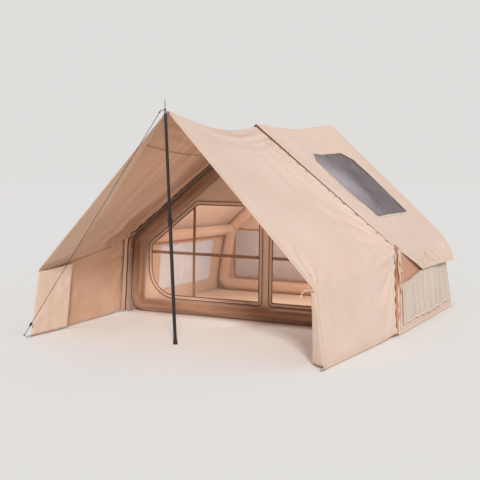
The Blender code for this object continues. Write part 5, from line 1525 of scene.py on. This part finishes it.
# %% [markdown]
# At the awning's front the side cloth turns back into two wings, which hang from the slope's edge and swing
# on it. The left one is folded back along the wall, and the right one is narrower at its head and half
# open.

# %% Wings
INWARDS = Vector((-1, 0, 0))
LEAN = (EAVE - HEM).normalized()
WING_GAP = 0.0024  # between a wing and the awning's wall
WINGS = {"left": (-1, 0.53, 2.5, 0.014), "right": (1, 0.26, 43.0, 0.030)}  # side, width, degrees, foot's lift


def build_wing(name, side, width, opened, lift):
    foot, head = HEM + LEAN * lift + INWARDS * WING_GAP, EAVE - LEAN * 0.020 + INWARDS * WING_GAP
    low_way, high_way = (REAR_HEM - HEM).normalized(), (REAR_EAVE - EAVE).normalized()
    turn = Matrix.Rotation(math.radians(opened), 3, LEAN)

    def wing(u, v):
        span = width * (1.0 if side < 0 else mix(1.0, 0.22, max(u, 0.0) ** 0.8))
        point = foot.lerp(head, u) + (turn @ low_way.lerp(high_way, u).normalized()) * (span * v)
        curl = 0.020 * math.sin(math.pi * v) * (v if side > 0 else 0.0)
        loose = min(1.0, 5 * v)
        wave = 0.006 * math.sin(math.tau * (1.6 * v + 0.15)) * (1 - u)
        wave += ripples(point, (0.14, 0.006, 41.0), (0.06, 0.0015, 43.0))
        return mirrored(point + INWARDS * (curl + 0.004 * loose + loose * abs(wave)), side)

    body, flip = f"front_wing_{name}", side > 0
    outer = lifted(wing, -0.0018 * side)
    both = [LIT_WING_CANVAS, LIT_WING_CANVAS]
    cloth = sheet(f"wing_{name}_cloth", wing, evenly(36), evenly(24), both, body, flip=flip)
    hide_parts(f"wing_{name}")
    side_hem = sheet(f"wing_{name}_side_hem", outer, evenly(36), evenly(3, 1 - 0.028 / width, 0.999),
                     [HEM_CANVAS], body, thickness=TAPE, flip=flip)
    foot_hem = sheet(f"wing_{name}_foot_hem", outer, evenly(3, 0.001, 0.060), evenly(24), [LIT_WING_CANVAS], body,
                     thickness=TAPE, flip=flip)
    declare(cloth)


for name, sizes in WINGS.items():
    build_wing(name, *sizes)

# %% [markdown]
# Under each slope a facing runs up from the wing to a point at the apex. It follows the same folds as the
# slope, a few millimetres below it.

# %% Facings
FACING_REACH = 0.50 / 1.7094  # its depth at the eave, as a share of the awning's
FACING_DROP = 0.0040


def build_facing(name, side):
    def facing(u, w):
        share = mix(0.025, 0.97, u)
        at = FACING_REACH * share * w
        point = awning_slope(share, at, side)
        down = (awning_slope(share + 0.004, at, side) - point).cross(OUT_REAR).normalized()
        down = -down if down.z > 0 else down
        return mirrored(point + down * FACING_DROP, side)

    under = sheet(f"facing_{name}_cloth", facing, evenly(60), evenly(14), [FACING_CANVAS, FACING_CANVAS],
                  flip=side > 0)
    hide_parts(f"facing_{name}")
    declare(under)


for side_name, side in SIDES:
    build_facing(side_name, side)
print("wings and facings ready")

# %% [markdown]
# The awning is laced to the cabin. A dark tape lies under the joint, and the edges of both cloths run in
# small waves over it where the laces pull. Below the shoulder the awning's edge hangs free, so the tape
# narrows to a thin line there and more of the gusset behind it shows.

# %% The lacing's tape
FRONT_HEM = Vector((1.4994, FRONT_Y, 0.012))
SLOPE_SHARE = 0.70  # of the joint's run from the ridge to the foot
WALL_OUT = Vector((0.999, 0, 0.05))
RIM_T = evenly(420, -0.9995, 0.9995)


def rim(t, share, lift=0.0):
    """A place on the joint. t runs from the left foot at -1 over the ridge to the right foot at 1, and share
    from the awning's edge at 0 to the cabin's at 1."""
    s = abs(t)
    if s < SLOPE_SHARE:
        k = s / SLOPE_SHARE
        awning_point = REAR_RIDGE.lerp(REAR_SHOULDER, k)
        cabin_point = ridge(FRONT_Y).lerp(shoulder(FRONT_Y), k)
    else:
        k = (s - SLOPE_SHARE) / (1 - SLOPE_SHARE)
        awning_point, cabin_point = REAR_SHOULDER.lerp(REAR_HEM, k), shoulder(FRONT_Y).lerp(FRONT_HEM, k)
    point = awning_point.lerp(cabin_point, clamp(share))
    point.y = mix(awning_point.y, cabin_point.y, share)
    point += SLOPE_OUT.lerp(WALL_OUT, clamp((s - SLOPE_SHARE + 0.02) / 0.04)).normalized() * lift
    return mirrored(point, 1.0 if t >= 0 else -1.0)


def lace(a, t):
    low = clamp((abs(t) - SLOPE_SHARE) / 0.02)
    front, back = mix(-0.6, -1.7, low), mix(1.5, -1.05, low)
    drop = mix(-0.0020, -0.0130 if t < 0 else -0.0008, low)
    return rim(t, mix(front, back, a) + 0.12 * low * math.sin(t * 60), drop + 0.0006 * math.sin(t * 90))


lace_tape = sheet("lacing_tape", lace, evenly(4), RIM_T, [LACE_DARK], slot="dark_trim", flip=True)
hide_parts("awning_zip_left", "awning_zip_right")
declare(lace_tape)

# %% [markdown]
# Below the shoulder a gusset closes the gap between awning and cabin from behind, and a pale tape covers
# the cabin's corner, a little crumpled.

# %% Gussets and corner tapes
GUSSET_FROM, TAPE_FROM = 0.680, 0.700  # where they begin on the joint's run


def build_corner(name, side, cloth):
    def gap_cloth(a, b):
        reach = mix(-1.0, -4.5, min(b / 0.12, 1.0))
        point = rim(side * mix(GUSSET_FROM, 0.9995, b), mix(reach, 2.9, a))
        inward = 0.0070 + 0.0200 * (1 - a) ** 2 - 0.0060 * hump(min(a / 0.75, 1.0))
        inward -= 0.0105 * clamp((a - 0.62) / 0.12) + 0.0025 * rough(a * 3, b * 14, side) * hump(a)
        point.x -= side * inward
        return point

    def corner_tape(a, b):
        loose = 0.0030 * rough(b * 11.0, a * 2.0, side)
        share = mix(2.45, 4.7, a) + 0.18 * math.sin(b * 26.0) * (1 - a) * hump(b)
        lift = 0.0055 + 0.006 * (1 - a) * hump(b) ** 0.5 + loose * hump(b)
        return rim(side * mix(TAPE_FROM, 0.998, b), share, lift)

    gap = sheet(f"lacing_gusset_{name}", gap_cloth, evenly(16), evenly(70), [cloth, cloth], flip=side > 0)
    declare(gap)
    tape = sheet(f"corner_tape_{name}", corner_tape, evenly(8), evenly(70), [CORNER_CANVAS], thickness=0.0014,
                 flip=side < 0)
    declare(tape)


build_corner("left", -1, FACING_CANVAS)
build_corner("right", 1, PAINTED_SHADE_GUSSET)

# %% [markdown]
# Four pale tapes hang from the right shoulder, for tying back what is rolled up. Each twists a little on
# its way down, and no two are alike.

# %% Tie tapes
TIES = {  # name: place along the tent, top, length, width, wave, turn
    "front": (-1.092, 0.800, 0.400, 0.026, 0.014, 0.4),
    "middle": (-1.060, 0.806, 0.300, 0.024, 0.018, 1.3),
    "back": (-1.026, 0.800, 0.360, 0.024, 0.014, 2.1),
    "short": (-1.076, 0.806, 0.200, 0.022, 0.020, 2.9),
}


def tie(name, y, top, length, width, wave, turn):
    def surface(a, b):
        z = top - length * b
        out = 0.0135 + 0.016 * b + wave * math.sin(math.pi * 2.4 * b + turn) ** 2 * b
        twist = 0.9 * math.sin(math.pi * b * 1.3 + turn) * b
        half = width * (a - 0.5)
        x = mix(REAR_HEM.x, HALF_FRONT, z / SHOULDER_Z) + out + half * math.sin(twist)
        return Vector((x, y + 0.010 * math.sin(4 * b + turn) * b + half * math.cos(twist), z))

    return sheet(f"tie_tape_{name}", surface, evenly(4), evenly(40), [TIE_TAPE], thickness=THIN_TAPE)


for name, sizes in TIES.items():
    hung = tie(name, *sizes)
    if name == "front":
        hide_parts("tie_tape_right")
    declare(hung)

# %% [markdown]
# Outside the right window hangs a loose cover of thinner, paler cloth. It is sewn on along its top and
# falls in soft upright folds to a border just above the wall's hem.

# %% Window cover
COVER_Y = (-0.965, 1.035)
COVER_LOW = 0.088


def cover(a, b):
    y = mix(*COVER_Y, b)
    point = wall_cloth(y, mix(COVER_LOW, wall_top(y, RIGHT_FRONT_TOP) - 0.004, a), 1)
    fold = math.sin(math.tau * (8.5 * b + 0.9 * rough(b * 5.0, a * 1.2, 3.0)))
    fold *= 0.6 + 0.5 * rough(b * 7.0, a * 2.0, 8.0)
    deep = hump(b) ** 0.4 * (1 - a) ** 0.35
    point.x += 0.0125 + deep * (0.006 + 0.010 * fold) - 0.006 * a**6
    point.z += 0.006 * (1 - a) ** 3 * math.sin(b * 9.0)
    return point


window_cover = sheet("side_window_right_cover", cover, evenly(26), evenly(160), [SIDE_FILM],
                     slot="window_film", thickness=FILM, flip=True)
cover_border = sheet("side_window_right_cover_border", lifted(cover, -0.0016), evenly(3, 0.002, 0.060),
                     evenly(160), [HEM_CANVAS], thickness=THIN_TAPE, flip=True)
declare(window_cover)

# %% [markdown]
# The floor is a coated sheet that lies a little loose between the beams. It is one flat sheet with shallow
# ripples that never dip below the ground.

# %% Floor sheet
HALF_SHEET = 1.488


def floor_place(a, b):
    point = Vector((mix(-HALF_SHEET, HALF_SHEET, a), mix(FRONT_Y, REAR_Y, b), 0.0))
    soft = hump(a) ** 0.4 * hump(b) ** 0.4
    wave = 0.5 + 0.5 * noise.noise(point * 3.2) + 0.3 * noise.noise(point * 9.0)
    point.z = 0.0012 + 0.0055 * soft * max(wave, 0.0)
    return point


floor_cloth = sheet("floor_sheet_cloth", floor_place, evenly(110), evenly(80), [FLOOR_CANVAS],
                    slot="floor_sheet")
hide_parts("groundsheet")
declare(floor_cloth)

# %% [markdown]
# Turned pieces come from a profile spun round its axis: tubes, collar, foot, pin, grommet and valve. Each
# profile has a small round at every rim, because that edge is what catches the light on a satin or plated
# part.

# %% Turned pieces
UP = Vector((0, 0, 1))
SHARP_ANGLE = math.radians(38)


def axes(origin, up, along):
    """A matrix whose Z is up and whose X is near along."""
    z = up.normalized()
    y = z.cross(along).normalized()
    x = y.cross(z)
    return Matrix.Translation(origin) @ Matrix((x, y, z)).transposed().to_4x4()


def turned(name, base, axis, profile, slot, body="tent", steps=48, loop=False, shape=None):
    """The profile is a list of (distance along the axis, radius). A loop makes a ring, not a solid bar."""
    bm = bmesh.new()
    verts = [bm.verts.new((radius, 0, far)) for far, radius in profile]
    edges = [bm.edges.new(pair) for pair in zip(verts, verts[1:])]
    if loop:
        edges.append(bm.edges.new((verts[-1], verts[0])))
    bmesh.ops.spin(bm, geom=verts + edges, cent=(0, 0, 0), axis=(0, 0, 1), angle=math.tau, steps=steps,
                   use_merge=True)
    bmesh.ops.remove_doubles(bm, verts=bm.verts[:], dist=1e-6)
    bmesh.ops.recalc_face_normals(bm, faces=bm.faces[:])
    if shape:
        for vert in bm.verts:
            vert.co = shape(vert.co)
    layer = bm.loops.layers.uv.new("turned")
    for face in bm.faces:
        for corner in face.loops:
            corner[layer].uv = (math.atan2(corner.vert.co.y, corner.vert.co.x) * 0.02, corner.vert.co.z)
    side_way = Vector((1, 0, 0)) if abs(axis.x) < 0.9 else Vector((0, 1, 0))
    bmesh.ops.transform(bm, verts=bm.verts[:], matrix=axes(base, axis, side_way))
    piece = finish_mesh(name, bm, [SLOT_FINISHES[slot]], body, slot)
    piece.data.set_sharp_from_angle(angle=SHARP_ANGLE)
    return piece


def bar(length, radius, rim_size=0.0015, inner=0.0):
    """The profile of a tube or, without an inner radius, of a solid bar, with rounded rims."""
    rounds = [(0.0, rim_size), (rim_size * 0.3, rim_size * 0.3), (rim_size, 0.0)]
    outer = [(far, radius - less) for far, less in rounds]
    outer += [(length - far, radius - less) for far, less in reversed(rounds)]
    return [*outer, (length, inner), (0.0, inner)] if inner else [(0.0, 0.0), *outer, (length, 0.0)]


def fluted(count, depth, smallest, low=-1.0, high=1.0):
    """Cuts grip flutes round a turned piece, between two heights."""
    def shape(point):
        if not low < point.z < high or point.xy.length < smallest:
            return point
        cut = depth * (0.5 + 0.5 * math.cos(count * math.atan2(point.y, point.x)))
        share = 1 - cut / point.xy.length
        return Vector((point.x * share, point.y * share, point.z))

    return shape


print("turning helpers ready")

# %% [markdown]
# The pole leans from its rubber foot to the apex. Its upper tube is thinner and slides in the lower one, a
# fluted collar locks it, and its pin goes through the grommet in the awning's apex.

# %% Pole
POLE_BASE = Vector((-0.108, -2.465, 0.0))
POLE_WAY = Vector((0.052925, -0.186219, 0.981082))
LOWER_FROM, LOWER_LENGTH, LOWER_RADIUS, LOWER_BORE = 0.0215, 1.060, 0.0150, 0.0134
UPPER_FROM, UPPER_LENGTH, UPPER_RADIUS, UPPER_BORE = 0.80, 1.2206, 0.01275, 0.0112
TUBE_RIM = 0.0008
GROMMET = Vector((0.0, -2.845, 2.0023))
FOOT_PROFILE = [
    (0.0, 0.0), (0.0, 0.0180), (0.0015, 0.0198), (0.0040, 0.0200), (0.0050, 0.0188), (0.0065, 0.0188),
    (0.0075, 0.0198), (0.0110, 0.0196), (0.0120, 0.0186), (0.0135, 0.0186), (0.0145, 0.0194),
    (0.0180, 0.0185), (0.0180, 0.0),
]
COLLAR_PROFILE = [
    (0.0, 0.0156), (0.0, 0.0190), (0.0012, 0.0204), (0.0100, 0.0210), (0.0125, 0.0206), (0.0475, 0.0206),
    (0.0500, 0.0210), (0.0590, 0.0196), (0.0600, 0.0180), (0.0600, 0.0132), (0.0300, 0.0132),
    (0.0300, 0.0156),
]
PIN_PROFILE = [
    (0.0, 0.0), (0.0, 0.0100), (0.0012, 0.0110), (0.0108, 0.0110), (0.0120, 0.0098), (0.0120, 0.0040),
    (0.1070, 0.0040), (0.1110, 0.0036), (0.1145, 0.0022), (0.1150, 0.0),
]
GROMMET_PROFILE = [
    (0.0, 0.0058), (0.0, 0.0112), (0.0008, 0.0120), (0.0016, 0.0116), (0.0026, 0.0098), (0.0030, 0.0080),
    (0.0028, 0.0064), (0.0018, 0.0056),
]


def on_pole(far):
    return POLE_BASE + POLE_WAY * far


def pole_tube(name, start, length, radius, bore, body="tent"):
    profile = bar(length, radius, TUBE_RIM, bore)
    return turned(name, on_pole(start), POLE_WAY, profile, "black_steel", body, loop=True)


foot = turned("pole_foot_cup", POLE_BASE, UP, FOOT_PROFILE, "foot_rubber")
turned("pole_foot_boot", on_pole(0.012), POLE_WAY, bar(0.038, 0.0178, 0.002), "foot_rubber")
lower = pole_tube("pole_lower_tube", LOWER_FROM, LOWER_LENGTH, LOWER_RADIUS, LOWER_BORE)
upper = pole_tube("pole_upper_tube", UPPER_FROM, UPPER_LENGTH, UPPER_RADIUS, UPPER_BORE, "upper_pole")
collar = turned("pole_twist_collar", on_pole(1.0818), POLE_WAY, COLLAR_PROFILE, "black_plastic",
                "twist_collar", 144, True, fluted(18, 0.0009, 0.018, 0.012, 0.048))
pin = turned("pole_pin_spike", on_pole(2.0209), POLE_WAY, PIN_PROFILE, "bright_metal", "upper_pole")
grommet = turned("apex_grommet_ring", GROMMET, UP, GROMMET_PROFILE, "bright_metal", loop=True)
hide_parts("pole_foot")
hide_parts("pole_lower")
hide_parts("pole_upper")
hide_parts("pole_collar")
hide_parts("pole_pin")
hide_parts("apex_grommet")
print("pole and grommet ready")

# %% [markdown]
# The beam's valve is a flange with a knurled cap, which twists. Both take their place from the packed
# solids.

# %% Valve
def on_valve(name, node_name, radius, rim_size, **more):
    low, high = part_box(node_name)
    middle = (VALVE_LOW + VALVE_HIGH) / 2
    base = Vector((middle.x, high.y, middle.z))
    return turned(name, base, OUT_FRONT, bar(high.y - low.y, radius, rim_size), "black_plastic", **more)


VALVE_LOW, VALVE_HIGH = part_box("inflation_valve")
valve = on_valve("valve_flange", "inflation_valve", 0.0228, 0.002)
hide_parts("inflation_valve")
valve_cap = on_valve("valve_twist_cap", "valve_cap", 0.0180, 0.0015, body="cap", steps=144,
                     shape=fluted(24, 0.0007, 0.015))
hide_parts("valve_cap")
print("valve ready")

# %% [markdown]
# A webbing loop at each ground corner holds a plated ring, which hangs a little below level. The webbing
# goes round the ring's wire and back into the seam.

# %% Ground rings
RING_RADIUS, RING_WIRE_RADIUS, RING_DROP = 0.0155, 0.0025, math.radians(21)
RING_HEIGHT = 0.0165
WEBBING_RADIUS, WEBBING_WIDTH, WEBBING_BACK = 0.0040, 0.017, 0.034
RINGS = {  # name: across, along, the way that it points
    "awning_ring_left": (-1.41, -2.8375, -1), "awning_ring_right": (1.41, -2.8375, -1),
    "corner_ring_front_left": (-1.458, -1.0975, -1), "corner_ring_front_right": (1.458, -1.0975, -1),
    "corner_ring_rear_left": (-1.458, 1.0975, 1), "corner_ring_rear_right": (1.458, 1.0975, 1),
}


def add_torus(bm, place, radius, wire, steps, sides):
    """A ring round its own Z axis, put where the matrix says."""
    made = bmesh.ops.create_circle(bm, segments=sides, radius=wire)["verts"]
    bmesh.ops.rotate(bm, verts=made, cent=(0, 0, 0), matrix=Matrix.Rotation(math.pi / 2, 3, "X"))
    bmesh.ops.translate(bm, verts=made, vec=(radius, 0, 0))
    edges = list({edge for vert in made for edge in vert.link_edges})
    before = set(bm.verts) - set(made)
    bmesh.ops.spin(bm, geom=made + edges, cent=(0, 0, 0), axis=(0, 0, 1), angle=math.tau, steps=steps,
                   use_merge=True)
    bmesh.ops.transform(bm, verts=[vert for vert in bm.verts if vert not in before], matrix=place)


def build_ring(name, x, y, way):
    hole = Vector((x, y, RING_HEIGHT))
    out = Vector((0, way, 0))
    reach = out * math.cos(RING_DROP) - UP * math.sin(RING_DROP)
    across = Vector((1, 0, 0))
    place = axes(hole + reach * (RING_RADIUS - 0.0006), reach.cross(across), across)
    bm = bmesh.new()
    add_torus(bm, place, RING_RADIUS, RING_WIRE_RADIUS, 48, 14)
    bmesh.ops.recalc_face_normals(bm, faces=bm.faces[:])
    ring_metal = finish_mesh(f"{name}_metal", bm, [PLATED], f"{name}_body", "bright_metal")
    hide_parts(name)
    normals = []
    for angle in range(-140, 131, 30):
        turn = math.radians(angle)
        normals.append(out * math.cos(turn) + UP * math.sin(turn))
    line = [hole + normal * WEBBING_RADIUS for normal in normals]
    low, high = (hole - out * WEBBING_BACK - UP * drop for drop in (0.0125, 0.0085))
    line = [low, low.lerp(line[0], 0.5), *line, line[-1].lerp(high, 0.5), high]
    normals = [-UP, -UP, *normals, UP, UP]
    strap(f"{name}_webbing", line, normals, WEBBING_WIDTH, HEM_CANVAS, lift=0.0, crown=0.0, thickness=0.0013)


for name, spot in RINGS.items():
    build_ring(name, *spot)
print(len(RINGS), "ground rings ready")

# %% [markdown]
# At the apex a stitched tab with a round end takes the pin, and the rope goes twice round the pin. It runs
# down through a sliding tensioner and is tied to the left awning ring. Every cord ends in a stopper knot.

# %% Apex tab, wraps and knots
TAB_LOW = Vector((0.0, -2.8153, 2.0005))
TAB_HALF, TAB_LENGTH, TAB_STRAIGHT = 0.030, 0.062, 0.62
ROPE_WAY = (ROPE_PEG - ROPE_TOP).normalized()
ROPE_KNOT, CORD_KNOT = 0.0032, 0.0036


def tab(a, b):
    past = max((b - TAB_STRAIGHT) / (1 - TAB_STRAIGHT), 0.0)
    half = TAB_HALF * math.sqrt(max(1 - past**2, 0.0))
    x = mix(-half, half, a)
    return TAB_LOW + Vector((x, -TAB_LENGTH * b, -0.0010 * abs(x / TAB_HALF) ** 2))


def wrap(centre, axis, radius, turns, rise, count):
    side_way = axis.cross(OUT_REAR).normalized()
    other = axis.cross(side_way)
    line = []
    for step in range(count + 1):
        angle = math.tau * turns * step / count
        round_way = side_way * math.cos(angle) + other * math.sin(angle)
        line.append(centre + round_way * radius + axis * (rise * step / count))
    return line


def rope_mesh(name, line, up):
    return tube(name, line, ROPE_DIAMETER / 2, DARK_BRAID, 12, slot="dark_rope", closed=False, up=up)


def knot(name, place, way, radius, slot):
    """A stopper knot: three close turns that lean against each other."""
    bm = bmesh.new()
    for far, lean in ((-0.9, 0.5), (0.0, -0.4), (0.9, 0.6)):
        leaned = (way + way.cross(Vector((0.3, 1, 0.2))).normalized() * lean).normalized()
        turn = axes(place + way * (far * radius), leaned, Vector((0.2, 0.9, 0.4)))
        add_torus(bm, turn, radius * 1.25, radius, 20, 10)
    bmesh.ops.recalc_face_normals(bm, faces=bm.faces[:])
    return finish_mesh(name, bm, [SLOT_FINISHES[slot]], "tent", slot)


apex_tab = sheet("apex_tab", tab, evenly(8), evenly(14), [HEM_CANVAS], thickness=0.0026, flip=True)
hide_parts("apex_patch")
coils = wrap(GROMMET + POLE_WAY * 0.006, POLE_WAY, 0.0072, 2.4, 0.012, 60)
leaves = coils[0] + Vector((-0.012, -0.010, 0.002))
arrives = ROPE_TOP + Vector((0.004, 0.006, 0.012))
bridge = four_point_curve([coils[0], leaves, arrives, ROPE_TOP + Vector((0, 0, 0.001))], 16)
rope_pieces = [
    rope_mesh("guy_rope_wraps", coils, POLE_WAY),
    rope_mesh("guy_rope_bridge", bridge, Vector((0.3, 0.2, 1.0))),
    knot("guy_rope_top_knot", ROPE_TOP + ROPE_WAY * 0.010, ROPE_WAY, ROPE_KNOT, "dark_rope"),
    knot("guy_rope_peg_knot", ROPE_PEG - ROPE_WAY * 0.012, ROPE_WAY, ROPE_KNOT, "dark_rope"),
]
for name, line in STUB_LINES.items():
    before_end = line[-3] if name == "flap_cord_right" else line[-4]
    way = (line[-1] - before_end).normalized()
    knot(f"{name}_knot", before_end, way, CORD_KNOT, "pale_cord")
print("tab, wraps and knots ready")

# %% [markdown]
# The tensioner is a small flat bar of black plastic with rounded ends, which slides on the rope. It is a
# cube, scaled, with its upright edges bevelled wide and then all its edges a little.

# %% Tensioner
TENSIONER_AT = Vector((-1.368449, -2.867773, 0.125793))
TENSIONER_SIZE = (0.044, 0.018, 0.009)
across = -ROPE_WAY.cross(OUT_REAR).normalized()
bm = bmesh.new()
bmesh.ops.create_cube(bm, size=1.0)
bmesh.ops.scale(bm, verts=bm.verts[:], vec=TENSIONER_SIZE)
ends = [edge for edge in bm.edges if abs(edge.verts[0].co.z - edge.verts[1].co.z) > 0.005]
for geom, offset, segments in ((ends, 0.006, 4), (None, 0.0012, 2)):
    bmesh.ops.bevel(bm, geom=geom or bm.edges[:], offset=offset, segments=segments, profile=0.5,
                    affect="EDGES", material=-1)
turn = Matrix((-ROPE_WAY, across, -ROPE_WAY.cross(across))).transposed().to_4x4()
bmesh.ops.transform(bm, verts=bm.verts[:], matrix=Matrix.Translation(TENSIONER_AT) @ turn)
slider = finish_mesh("guy_tensioner_body", bm, [PLASTIC], "tensioner", "black_plastic")
slider.data.set_sharp_from_angle(angle=SHARP_ANGLE)
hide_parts("guy_tensioner")
rope_pieces.append(slider)
print("tensioner ready")

# %% [markdown]
# Each cord's real length is worked out again here. The guy rope is pulled tight between the pole's top and
# the awning's left ground ring. The three stubs hang loose from their corners.

line_length(ROPE_LINE)
for name, line in STUB_LINES.items():
    line_length(line)
print(1 + len(STUB_LINES), "cords declared")

# %% [markdown]
# Last, the CAD solids that still show get the finish of their slot.

# %% Finish the carried-over solids
SLOT_OF = {part["node"]: part["material_slot"] for part in frame["record"]["subparts"]}
for name in sorted(frame["nodes"]):
    solid = frame["nodes"][name]
    if solid.hide_render:
        continue
    finish = SLOT_FINISHES[SLOT_OF[name]]
    solid.data.materials.clear()
    solid.data.materials.append(finish)
    print("CAD solid still shown:", name, finish.name)
